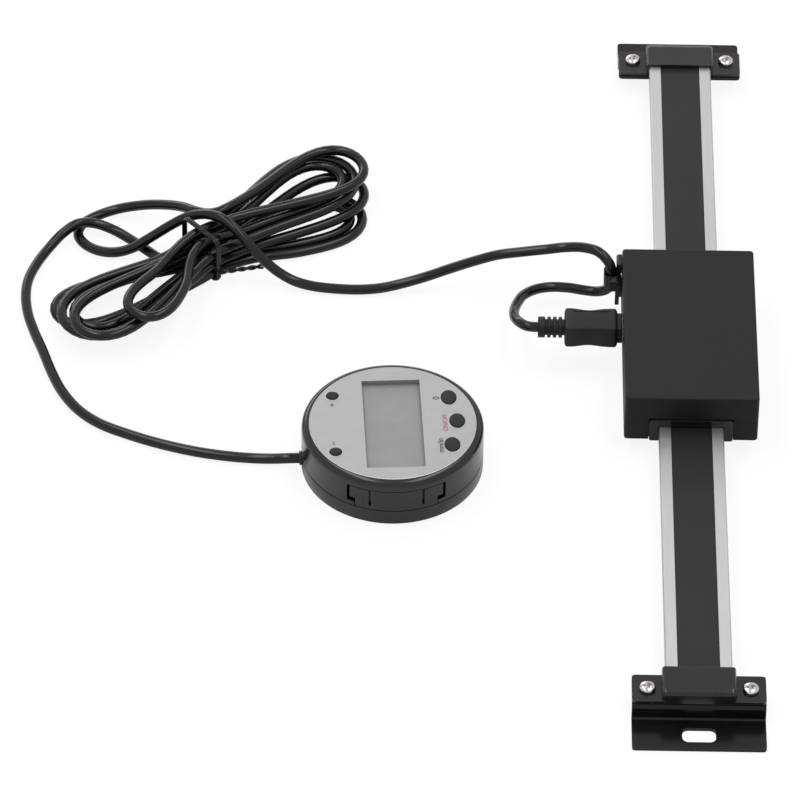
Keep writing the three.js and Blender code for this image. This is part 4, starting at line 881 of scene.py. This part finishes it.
def make_plug_grip():
    """The moulded grip: drawn-in sides, soft ends, and a fine line in its top and bottom."""
    form = bmesh.new()
    rings = []
    steps = 40
    for i in range(steps + 1):
        along = 0.5 - 0.5 * math.cos(math.pi * i / steps)
        x = GRIP_REAR + (GRIP_FRONT - GRIP_REAR) * along
        drawn = GRIP_WAIST * math.sin(math.pi * along) ** 2
        inset = GRIP_END - min(x - GRIP_REAR, GRIP_FRONT - x, GRIP_END)
        edge = GRIP_END - math.sqrt(GRIP_END**2 - inset**2)
        sides = (GRIP_HALF_WIDTH - drawn - edge, GRIP_HALF_HEIGHT - edge)
        held = min(max((along - SCOOP_START) / SCOOP_LENGTH, 0), 1)
        corner = GRIP_CORNER + GRIP_SCOOP * math.sin(math.pi * held) ** 2
        rings.append(ring_of(form, plug_section(*sides, corner, x)))
    skin(form, rings)
    neck = bmesh.new()
    ends = ((GRIP_FRONT - NECK_ROOT, 0.0), (NECK_END - NECK_EDGE, 0.0), (NECK_END, NECK_EDGE))
    neck_rings = [
        ring_of(
            neck, plug_section(NECK_HALF_WIDTH - e, NECK_HALF_HEIGHT - e, NECK_CORNER, x)
        )
        for x, e in ends
    ]
    skin(neck, neck_rings)
    cuts = []
    for side in (1, -1):
        line = block(
            (0, -GRIP_LINE_HALF_WIDTH, -GRIP_LINE_DEPTH),
            (GRIP_LINE_LENGTH, GRIP_LINE_HALF_WIDTH, GRIP_LINE_DEPTH),
        )
        corner = at(
            GRIP_REAR + GRIP_LINE_START, PLUG_Y + GRIP_LINE_Y, PLUG_Z + side * GRIP_HALF_HEIGHT
        )
        line.transform(Matrix.Translation(corner))
        cuts.append(line)
    mesh = carved(form, cuts, "plug_grip", joined=[neck])
    return dress("plug_grip", mesh, "plug_body", material=GRIP)


RELIEF_START, RELIEF_LENGTH = -41.75, 8.8
RELIEF_CORE, RELIEF_RIB, RELIEF_EDGE = 2.7, 3.55, 0.3
RELIEF_RING, RELIEF_END_RING, RELIEF_RINGS = 1.2, 2.4, 3


def make_plug_sleeve():
    """The flexing sleeve: three narrow rings and a wide end ring, each with soft edges."""
    rings_length = RELIEF_RINGS * RELIEF_RING + RELIEF_END_RING
    gap = (RELIEF_LENGTH - rings_length) / (RELIEF_RINGS + 1)
    starts = [gap + i * (gap + RELIEF_RING) for i in range(RELIEF_RINGS)]
    rings = [(start, start + RELIEF_RING) for start in starts]
    rings.append((RELIEF_LENGTH - RELIEF_END_RING, RELIEF_LENGTH))
    profile = [(0, 0), (RELIEF_CORE, 0)]
    middle = RELIEF_RIB - RELIEF_EDGE
    for start, end in rings:
        profile.append((RELIEF_CORE, start))
        profile += arc(middle, start + RELIEF_EDGE, RELIEF_EDGE, -90, 0, 3)
        profile += arc(middle, end - RELIEF_EDGE, RELIEF_EDGE, 0, 90, 3)
        profile.append((RELIEF_CORE, end))
    profile += [
        (BORE_RADIUS, RELIEF_LENGTH), (BORE_RADIUS, RELIEF_LENGTH - BORE_DEPTH),
        (0, RELIEF_LENGTH - BORE_DEPTH),
    ]
    form = lathe(profile, steps=48)
    form.transform(Matrix.Translation(at(RELIEF_START, PLUG_Y, PLUG_Z)) @ LAID)
    return dress("plug_sleeve", mesh_of(form, "plug_sleeve"), "plug_relief", material=GRIP)


plug_grip = make_plug_grip()
plug_sleeve = make_plug_sleeve()
plug_shell = eased("plug_shell", 0.08)

# Remote display, drawn about its own middle

DISPLAY_PLACE = Matrix.Translation(at(DISPLAY_X, DISPLAY_Y, 0)) @ Matrix.Rotation(
    DISPLAY_ANGLE, 4, "Z"
)
ROUND_STEPS = 180
RADIUS, INSIDE, TOP, SEAM = 30, 27.9, 18.1, 5.75
SHOULDER, RECESS, PLATE_FLOOR, CEILING = 2.4, 27.7, 17.25, 15.75
PLATE_RADIUS, PLATE_BOTTOM, PLATE_TOP = 27.6, 17.3, 18.05
CASE_BOTTOM, DOORWAY_TOP, SILL = 6.05, 14.4, 7.65
WINDOW_X, WINDOW_Y, WINDOW_WIDTH, WINDOW_LENGTH = 0.2, -0.5, 19.2, 42.8
LENS_LAP, LENS_GAP, LENS_FIT = 0.6, 0.05, 0.01
LENS_BOTTOM, LENS_SHOULDER, LENS_TOP = 15.8, 17.2, 18.0
LARGE_KEY, SMALL_KEY = (4.9, 6.9), (3.9, 3.9)  # across and along the face
KEYS = {
    "zero_key": (19, 11.6, *LARGE_KEY),
    "power_key": (21.2, 0, *LARGE_KEY),
    "unit_key": (19, -11.6, *LARGE_KEY),
    "upper_small_key": (-19.3, 13.8, *SMALL_KEY),
    "lower_small_key": (-19.3, -13.8, *SMALL_KEY),
}
KEY_GAP, KEY_PROUD, KEY_STEPS = 0.2, 0.55, 56
DOORWAY_ANGLE, SILL_ANGLE = math.radians(32.6), math.radians(27.3)
BOSS_RING, BOSS_ANGLES = 23.5, (50, 128, -128, -50)
BOSS, PILOT, PILOT_ROOF, CASE_BOSS_BOTTOM, BACK_BOSS_TOP = 4.8, 2.5, 0.3, 7.3, 7


def display_piece(name, node, form, cuts, joined=(), **finish):
    """Carves a piece of the display about its own middle, and then puts it in its place."""
    mesh = carved(form, cuts, name, joined)
    mesh.transform(DISPLAY_PLACE)
    dress(name, mesh, node, **finish)


def window_cut(lap, low, high):
    x, y = WINDOW_WIDTH / 2 + lap, WINDOW_LENGTH / 2 + lap
    return block((WINDOW_X - x, WINDOW_Y - y, low), (WINDOW_X + x, WINDOW_Y + y, high))


def lengthened(form, width, length):
    """Turns a round form into an oval one, as much longer beyond its width as at it."""
    for corner in form.verts:
        radius = max(math.hypot(corner.co.x, corner.co.y), width / 2 * MM)
        corner.co.y *= 1 + (length - width) / 2 * MM / radius
    return form


def at_keys(profile_beyond):
    """One oval form at each key, turned from a profile of radii past the key's own."""
    forms = []
    for x, y, width, length in KEYS.values():
        turned = [(out and width / 2 + out, z) for out, z in profile_beyond]
        form = lengthened(lathe(turned, KEY_STEPS), width, length)
        form.transform(shifted(x, y))
        forms.append(form)
    return forms


def key_holes(low, high):
    return at_keys([(0, low), (KEY_GAP, low), (KEY_GAP, high), (0, high)])


def sector(inner, outer, start, end, low, high, steps=24):
    """Part of a ring, between two angles from the drawer's middle."""
    form = bmesh.new()
    turns = [-TURN / 4 + start + (end - start) * k / steps for k in range(steps + 1)]
    outline = [(outer * math.cos(a), outer * math.sin(a)) for a in turns]
    outline += [(inner * math.cos(a), inner * math.sin(a)) for a in reversed(turns)]
    skin(form, [ring_of(form, [Vector((x, y, z)) * MM for x, y in outline]) for z in (low, high)])
    return form


def boss_bars(diameter, low, high):
    angles = [math.radians(a) for a in BOSS_ANGLES]
    places = [(BOSS_RING * math.cos(a), BOSS_RING * math.sin(a)) for a in angles]
    return [round_bar(diameter, low, high, x, y, steps=32) for x, y in places]


def display_case():
    shoulder = arc(RADIUS - SHOULDER, TOP - SHOULDER, SHOULDER, 0, 90, 14)
    shoulder = [(r, z) for r, z in shoulder if r > RECESS + FINE_EDGE]
    profile = [
        (0, CEILING), (INSIDE, CEILING), (INSIDE, CASE_BOTTOM), (RADIUS - FINE_EDGE, CASE_BOTTOM),
        (RADIUS, CASE_BOTTOM + FINE_EDGE), *shoulder, (RECESS, TOP - FINE_EDGE / 2),
        (RECESS, PLATE_FLOOR), (0, PLATE_FLOOR),
    ]
    through = (CEILING - PAST, PLATE_FLOOR + PAST)
    cuts = [window_cut(LENS_LAP + LENS_GAP, *through), *key_holes(*through)]
    wall = (INSIDE - PAST, RADIUS + PAST)
    cuts.append(sector(*wall, -DOORWAY_ANGLE, DOORWAY_ANGLE, SILL, DOORWAY_TOP))
    cuts.append(sector(*wall, -SILL_ANGLE, SILL_ANGLE, CASE_BOTTOM - PAST, SILL + FINE_EDGE))
    cuts += boss_bars(PILOT, BACK_BOSS_TOP, CEILING - PILOT_ROOF)
    bosses = boss_bars(BOSS, CASE_BOSS_BOTTOM, CEILING + KEPT_OFF)
    display_piece("display_housing", "display_case", lathe(profile, ROUND_STEPS), cuts, bosses)


BACK_FLOOR, SCREW_POCKET, SCREW_POCKET_DEPTH, GROMMET_HOLE = 2, 4.45, 1.5, 4.7
LOWER_EDGE = ((29.4, 0), (29.5, 0.04), (29.96, 0.5), (RADIUS, 0.6))  # radii and heights
RUNNER_X, RUNNER_HALF_WIDTH, RUNNER_FRONT, RUNNER_REAR, RUNNER_TOP = 8, 1, -23.5, -6.5, 5.95
MAGNET_HOLE, MAGNET_BOTTOM, MAGNET_X, MAGNET_Y = 10.3, 0.6, 13, 9


def back_cover():
    profile = [
        (0, 0), *LOWER_EDGE, (RADIUS, SEAM - FINE_EDGE), (RADIUS - FINE_EDGE, SEAM),
        (INSIDE, SEAM), (INSIDE, BACK_FLOOR), (0, BACK_FLOOR),
    ]
    joined = boss_bars(BOSS, KEPT_OFF, BACK_BOSS_TOP)
    for x in (-RUNNER_X, RUNNER_X):
        low = (x - RUNNER_HALF_WIDTH, RUNNER_FRONT, BACK_FLOOR - KEPT_OFF)
        joined.append(block(low, (x + RUNNER_HALF_WIDTH, RUNNER_REAR, RUNNER_TOP)))
    magnets = [
        round_bar(MAGNET_HOLE, MAGNET_BOTTOM, BACK_FLOOR + PAST, x, MAGNET_Y, steps=48)
        for x in (-MAGNET_X, MAGNET_X)
    ]
    gland = round_bar(GROMMET_HOLE, INSIDE - PAST, RADIUS + PAST, steps=40)
    gland.transform(Matrix.Translation((0, 0, GROMMET_Z * MM)) @ LAID)
    pilots = boss_bars(PILOT, -PAST, BACK_BOSS_TOP + PAST)
    cuts = [*pilots, *boss_bars(SCREW_POCKET, -PAST, SCREW_POCKET_DEPTH), *magnets, gland]
    display_piece("back_housing", "back_cover", lathe(profile, ROUND_STEPS), cuts, joined)


DRAWER_ANGLE, FOOT_ANGLE, SLOT_ANGLE = math.radians(30.6), math.radians(26.7), math.radians(17)
DRAWER_BOTTOM, DRAWER_TOP, FOOT_TOP = 6.1, 14.1, 9.45
SLOT_WIDTH, SLOT_DEPTH, SLOT_TOP = 0.85, 1.2, 20
TRAY_WIDTH, TRAY_FLOOR, TRAY_TOP, TRAY_REAR = 23, 7.3, 10.7, -6.5
CELL_POCKET, CELL_Y = 20.5, -17.3


def battery_drawer():
    """A piece of the case's wall with a tray behind it. Two slots part the face's ends from its
    middle, so that they spring in, and the lower corners clear the case's ledges."""
    turned = (-DRAWER_ANGLE, DRAWER_ANGLE)
    face = sector(INSIDE, RADIUS, *turned, DRAWER_BOTTOM, DRAWER_TOP, steps=36)
    tray = block(
        (-TRAY_WIDTH / 2, -INSIDE + SLOT_DEPTH, DRAWER_BOTTOM),
        (TRAY_WIDTH / 2, TRAY_REAR, TRAY_TOP),
    )
    neck = block(
        (-TRAY_WIDTH / 2, PAST - RADIUS, DRAWER_BOTTOM + FINE_EDGE / 2),
        (TRAY_WIDTH / 2, -INSIDE + PAST, TRAY_TOP - FINE_EDGE / 2),
    )
    pocket = round_bar(CELL_POCKET, TRAY_FLOOR, TRAY_TOP + PAST, 0, CELL_Y)
    cuts = [pocket]
    for side in (1, -1):
        slot = block(
            (-SLOT_WIDTH / 2, -RADIUS - PAST, SILL), (SLOT_WIDTH / 2, SLOT_DEPTH - RADIUS, SLOT_TOP)
        )
        slot.transform(Matrix.Rotation(side * SLOT_ANGLE, 4, "Z"))
        ends = sorted((side * FOOT_ANGLE, side * (DOORWAY_ANGLE + FOOT_ANGLE)))
        corner = sector(INSIDE - PAST, RADIUS + PAST, *ends, DRAWER_BOTTOM - PAST, FOOT_TOP)
        cuts += [slot, corner]
    joined = [tray, neck]
    display_piece(
        "drawer_dressed", "battery_drawer", face, cuts, joined, rounded=0.1, segments=2
    )


LIP_OUTSIDE, LIP_INSIDE, LIP_HEIGHT = 0.6, 0.28, 0.12  # the plate's edge round each key


def face_plate():
    profile = [
        (0, PLATE_BOTTOM), (PLATE_RADIUS, PLATE_BOTTOM), (PLATE_RADIUS, PLATE_TOP - FINE_EDGE),
        (PLATE_RADIUS - FINE_EDGE, PLATE_TOP), (0, PLATE_TOP),
    ]
    through = (PLATE_BOTTOM - PAST, PLATE_TOP + PAST)
    cuts = [window_cut(0, *through), *key_holes(*through)]
    lips = at_keys([
        (0, PLATE_TOP - FINE_EDGE), (LIP_OUTSIDE, PLATE_TOP - FINE_EDGE), (LIP_OUTSIDE, PLATE_TOP),
        (LIP_INSIDE, PLATE_TOP + LIP_HEIGHT), (0, PLATE_TOP + LIP_HEIGHT),
    ])
    plate = lathe(profile, ROUND_STEPS)
    display_piece("face", "face_plate", plate, cuts, lips, rounded=0.03, segments=1)


KEY_BOTTOM, KEY_FLANGE, KEY_FLANGE_THICKNESS = 15.05, 0.6, 0.4
KEY_EDGE, KEY_CROWN = 0.3, 0.12


def push_key(node):
    """A cap with a soft edge and a gently domed top, on a flange that keeps it in."""
    x, y, width, length = KEYS[node]
    radius, top = width / 2, TOP + KEY_PROUD
    flange_top = KEY_BOTTOM + KEY_FLANGE_THICKNESS
    edge = arc(radius - KEY_EDGE, top - KEY_CROWN - KEY_EDGE, KEY_EDGE, 0, 80, 5)
    dome = [(radius * share, top - KEY_CROWN * share**2) for share in (0.75, 0.5, 0.25)]
    profile = [
        (0, KEY_BOTTOM), (radius + KEY_FLANGE, KEY_BOTTOM), (radius + KEY_FLANGE, flange_top),
        (radius, flange_top), *edge, *dome, (0, top),
    ]
    form = lengthened(lathe(profile, KEY_STEPS), width, length)
    form.transform(DISPLAY_PLACE @ shifted(x, y))
    dress(f"{node}_cap", mesh_of(form, f"{node}_cap"), node, material=KEYCAP)


def window_lens():
    """A clear block that fills the window up to the face, on a wider foot under it."""
    foot = window_cut(LENS_LAP, LENS_BOTTOM, LENS_SHOULDER)
    upper = window_cut(-LENS_FIT, LENS_SHOULDER - 2 * FINE_EDGE, LENS_TOP)
    display_piece("lens", "window_lens", foot, [], [upper])


GROMMET_BODY, GROMMET_LIP, GROMMET_LIP_START, GROMMET_INSIDE = 2.2, 2.4, 30.05, 27


def cable_gland():
    """The grommet in the case's side, bored for the cable."""
    length, lip = GROMMET_END - GROMMET_INSIDE, GROMMET_LIP_START - GROMMET_INSIDE
    profile = [
        (0, 0), (GROMMET_BODY, 0), (GROMMET_BODY, lip), (GROMMET_LIP - FINE_EDGE, lip),
        (GROMMET_LIP, lip + FINE_EDGE),
        *arc(GROMMET_LIP - 2 * FINE_EDGE, length - 2 * FINE_EDGE, 2 * FINE_EDGE, 0, 90, 4),
        (BORE_RADIUS, length), (BORE_RADIUS, length - BORE_DEPTH), (0, length - BORE_DEPTH),
    ]
    form = lathe(profile, steps=40)
    form.transform(DISPLAY_PLACE @ shifted(-GROMMET_INSIDE, 0, GROMMET_Z) @ LAID)
    return dress("gland", mesh_of(form, "gland"), "cable_grommet")


display_case()
back_cover()
face_plate()
window_lens()
for node in KEYS:
    push_key(node)
battery_drawer()
eased("lcd_panel", 0.1)
gland = cable_gland()

# Legends, thin prints on the face

LEGENDS = (
    ("0", 14.97, 11.53, 3.0, DARK_PRINT),
    ("ON/OFF", 17.32, -0.68, 2.3, RED_PRINT),
    ("mm/in", 15.28, -11.84, 2.75, DARK_PRINT),
    ("+", -19.42, 9.35, 3.2, DARK_PRINT),
    ("\N{MINUS SIGN}", -19.56, -9.55, 3.2, DARK_PRINT),
)
PRINT_THICKNESS, PRINT_BOLDER = 0.024, 0.03


def legend(number, text, x, y, size, material):
    data = bpy.data.curves.new("legend", "FONT")
    data.body = text
    data.size = size * MM
    data.align_x, data.align_y = "CENTER", "CENTER"
    data.extrude = PRINT_THICKNESS / 2 * MM
    data.offset = PRINT_BOLDER * MM
    data.resolution_u = 6
    written = added("legend", data)
    mesh = finished_mesh(written)
    bpy.data.objects.remove(written)
    place = DISPLAY_PLACE @ shifted(x, y, PLATE_TOP + PRINT_THICKNESS)
    mesh.transform(place @ Matrix.Rotation(TURN / 4, 4, "Z"))
    piece = placed(f"legend_{number}", mesh, material)
    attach(piece, "reader")


for number, line in enumerate(LEGENDS):
    legend(number, *line)

# Wire tie round the hank's waist

BAND_SLACK, BAND_CORNER = 0.55, 2.0
BAND_LEFT = HANK_WAIST + TURNS_PER_LAYER * HANK_STEP + CABLE / 2 + BAND_SLACK
BAND_RIGHT = HANK_STEP / 2 - BAND_LEFT
TAIL_LENGTH, TAIL_STRAND, TAIL_HEIGHT, TAIL_TWISTS = 15, 0.92, 5, 2.2
TAIL_ROOT, TAIL_SPREAD, TAIL_STEPS, TAIL_ANGLE = 0.9, 0.42, 60, HANK_ANGLE / 3
TAIL_PARTS_AT, TAIL_PARTING = 0.8, 0.6  # from which share of its length the ends part
# The ribbon's section: how far along the hank, and how far out, as a wire under thin film
BAND_SECTION = (
    (-1, 0.1), (-1, 0.45), (-0.9, 0.55), (-0.5, 0.55), (-0.3, 0.78), (0, 0.85),
    (0.3, 0.78), (0.5, 0.55), (0.9, 0.55), (1, 0.45), (1, 0.1), (0, 0.02),
)


def wire_tie_band():
    bottom = FLOOR_GAP + HANK_LIFT - BAND_SLACK
    top = FLOOR_GAP + CABLE + (HANK_LAYERS - 1) * HANK_LAYER + HANK_LIFT + BAND_SLACK
    middle = Vector(((BAND_LEFT + BAND_RIGHT) / 2, (top + bottom) / 2))
    half_width, half_height = (BAND_LEFT - BAND_RIGHT) / 2, (top - bottom) / 2
    half = Vector((half_width - BAND_CORNER, half_height - BAND_CORNER))
    form = bmesh.new()
    rings = []
    for side, end, *way in round_corners(9):
        way = Vector(way)
        point = middle + Vector((side * half.x, end * half.y)) + way * BAND_CORNER
        places = [(WIRE_TIE_PLACE + u, *(point + way * out)) for u, out in BAND_SECTION]
        rings.append(ring_of(form, [at(*hank_place(*place)) for place in places]))
    skin(form, [*rings, rings[0]], capped=False)
    return dress("wire_tie_band", mesh_of(form, "wire_tie_band"), "wire_tie")


def wire_tie_tail():
    """The ribbon's two ends, twisted round each other."""
    root = hank_place(WIRE_TIE_PLACE, BAND_RIGHT - TAIL_ROOT, TAIL_HEIGHT)
    heading = Matrix.Rotation(TAIL_ANGLE, 3, "Z") @ Vector((1, 0, 0))
    side, up = Vector((0, 0, 1)).cross(heading), Vector((0, 0, 1))
    tail = bmesh.new()
    for strand in (0, 1):
        path = []
        for k in range(TAIL_STEPS + 1):
            share = k / TAIL_STEPS
            angle = TURN * (TAIL_TWISTS * share + strand / 2)
            spread = TAIL_SPREAD + max(share - TAIL_PARTS_AT, 0) * TAIL_PARTING
            turned = side * math.cos(angle) + up * math.sin(angle)
            path.append(at(*(root + heading * TAIL_LENGTH * share + turned * spread)))
        tail.from_mesh(mesh_of(tube(path, TAIL_STRAND, sides=8), "strand"))
    return dress("wire_tie_tail", mesh_of(tail, "wire_tie_tail"), "wire_tie")


wire_pieces = (wire_tie_band(), wire_tie_tail())

# Pieces that keep the frame's own form

for node, piece in frame["nodes"].items():
    if not piece.hide_render:
        if not piece.material_slots:
            piece.data.materials.append(FINISH[SLOT_OF[node]])
        for material_slot in piece.material_slots:
            material_slot.material = FINISH[SLOT_OF[node]]

# Studio


def lamp(name, place, width, height, power):
    data = bpy.data.lights.new(name, "AREA")
    data.shape = "RECTANGLE"
    data.size, data.size_y = width, height
    data.energy = power
    made = added(name, data)
    made.location = place
    made.rotation_euler = Vector(place).to_track_quat("Z", "Y").to_euler()


lamp("left light", (-0.42, 0, 1.2), 1.2, 0.27, 5.6)
lamp("right light", (0.36, 0, 1.2), 1.2, 0.27, 5.6)
lamp("back light", (-0.35, 1.1, 0.45), 0.9, 0.25, 2.5)


def any_ray(tree, *kinds):
    """One for rays of any of these kinds."""
    rays = node_in(tree, "ShaderNodeLightPath").outputs
    found = rays[f"Is {kinds[0]} Ray"]
    for kind in kinds[1:]:
        found = maths(tree, "MAXIMUM", found, rays[f"Is {kind} Ray"])
    return found


def studio_world():
    """White to the camera and in reflections, and dimmer as a light."""
    world = bpy.data.worlds.new("studio")
    world.use_nodes = True
    scene.world = world
    tree = world.node_tree
    ground = tree.nodes["Background"]
    seen = any_ray(tree, "Camera", "Transmission", "Glossy")
    ground.inputs["Color"].default_value = grey(1)
    feed(tree, ground.inputs["Strength"], ranged(tree, seen, 0.0, 1.0, 0.6, 1.0))


FLOOR_LEVEL, FLOOR_REACH = -0.2, 6
OWN_WHITE = 0.88  # how much of the floor's white is its own


def floor():
    """A pale floor, mostly white of its own so that only a soft shadow shows. It is clear from
    below, so that the undersides can be seen."""
    form = bmesh.new()
    bmesh.ops.create_grid(form, x_segments=1, y_segments=1, size=FLOOR_REACH)
    made = added("floor", mesh_of(form, "floor"))
    made.location.z = FLOOR_LEVEL * MM
    material, tree, _ = shader_of(
        "pale floor", Base_Color=grey(0.95), Roughness=0.9, Specular_IOR_Level=0.1
    )
    paper = tree.nodes["Principled BSDF"].outputs[0]
    white = node_in(tree, "ShaderNodeEmission", Strength=1.0, Color=grey(1)).outputs[0]
    share = maths(tree, "MULTIPLY", any_ray(tree, "Camera", "Transmission"), OWN_WHITE)
    under = node_in(tree, "ShaderNodeNewGeometry").outputs["Backfacing"]
    clear = node_in(tree, "ShaderNodeBsdfTransparent").outputs[0]
    seen = in_order(tree, "ShaderNodeMixShader", (share, paper, white))[0]
    sheet = in_order(tree, "ShaderNodeMixShader", (under, seen, clear))[0]
    feed(tree, tree.nodes["Material Output"].inputs["Surface"], sheet)
    made.data.materials.append(material)


studio_world()
floor()

scene.view_settings.view_transform = "Standard"
bpy.context.view_layer.update()
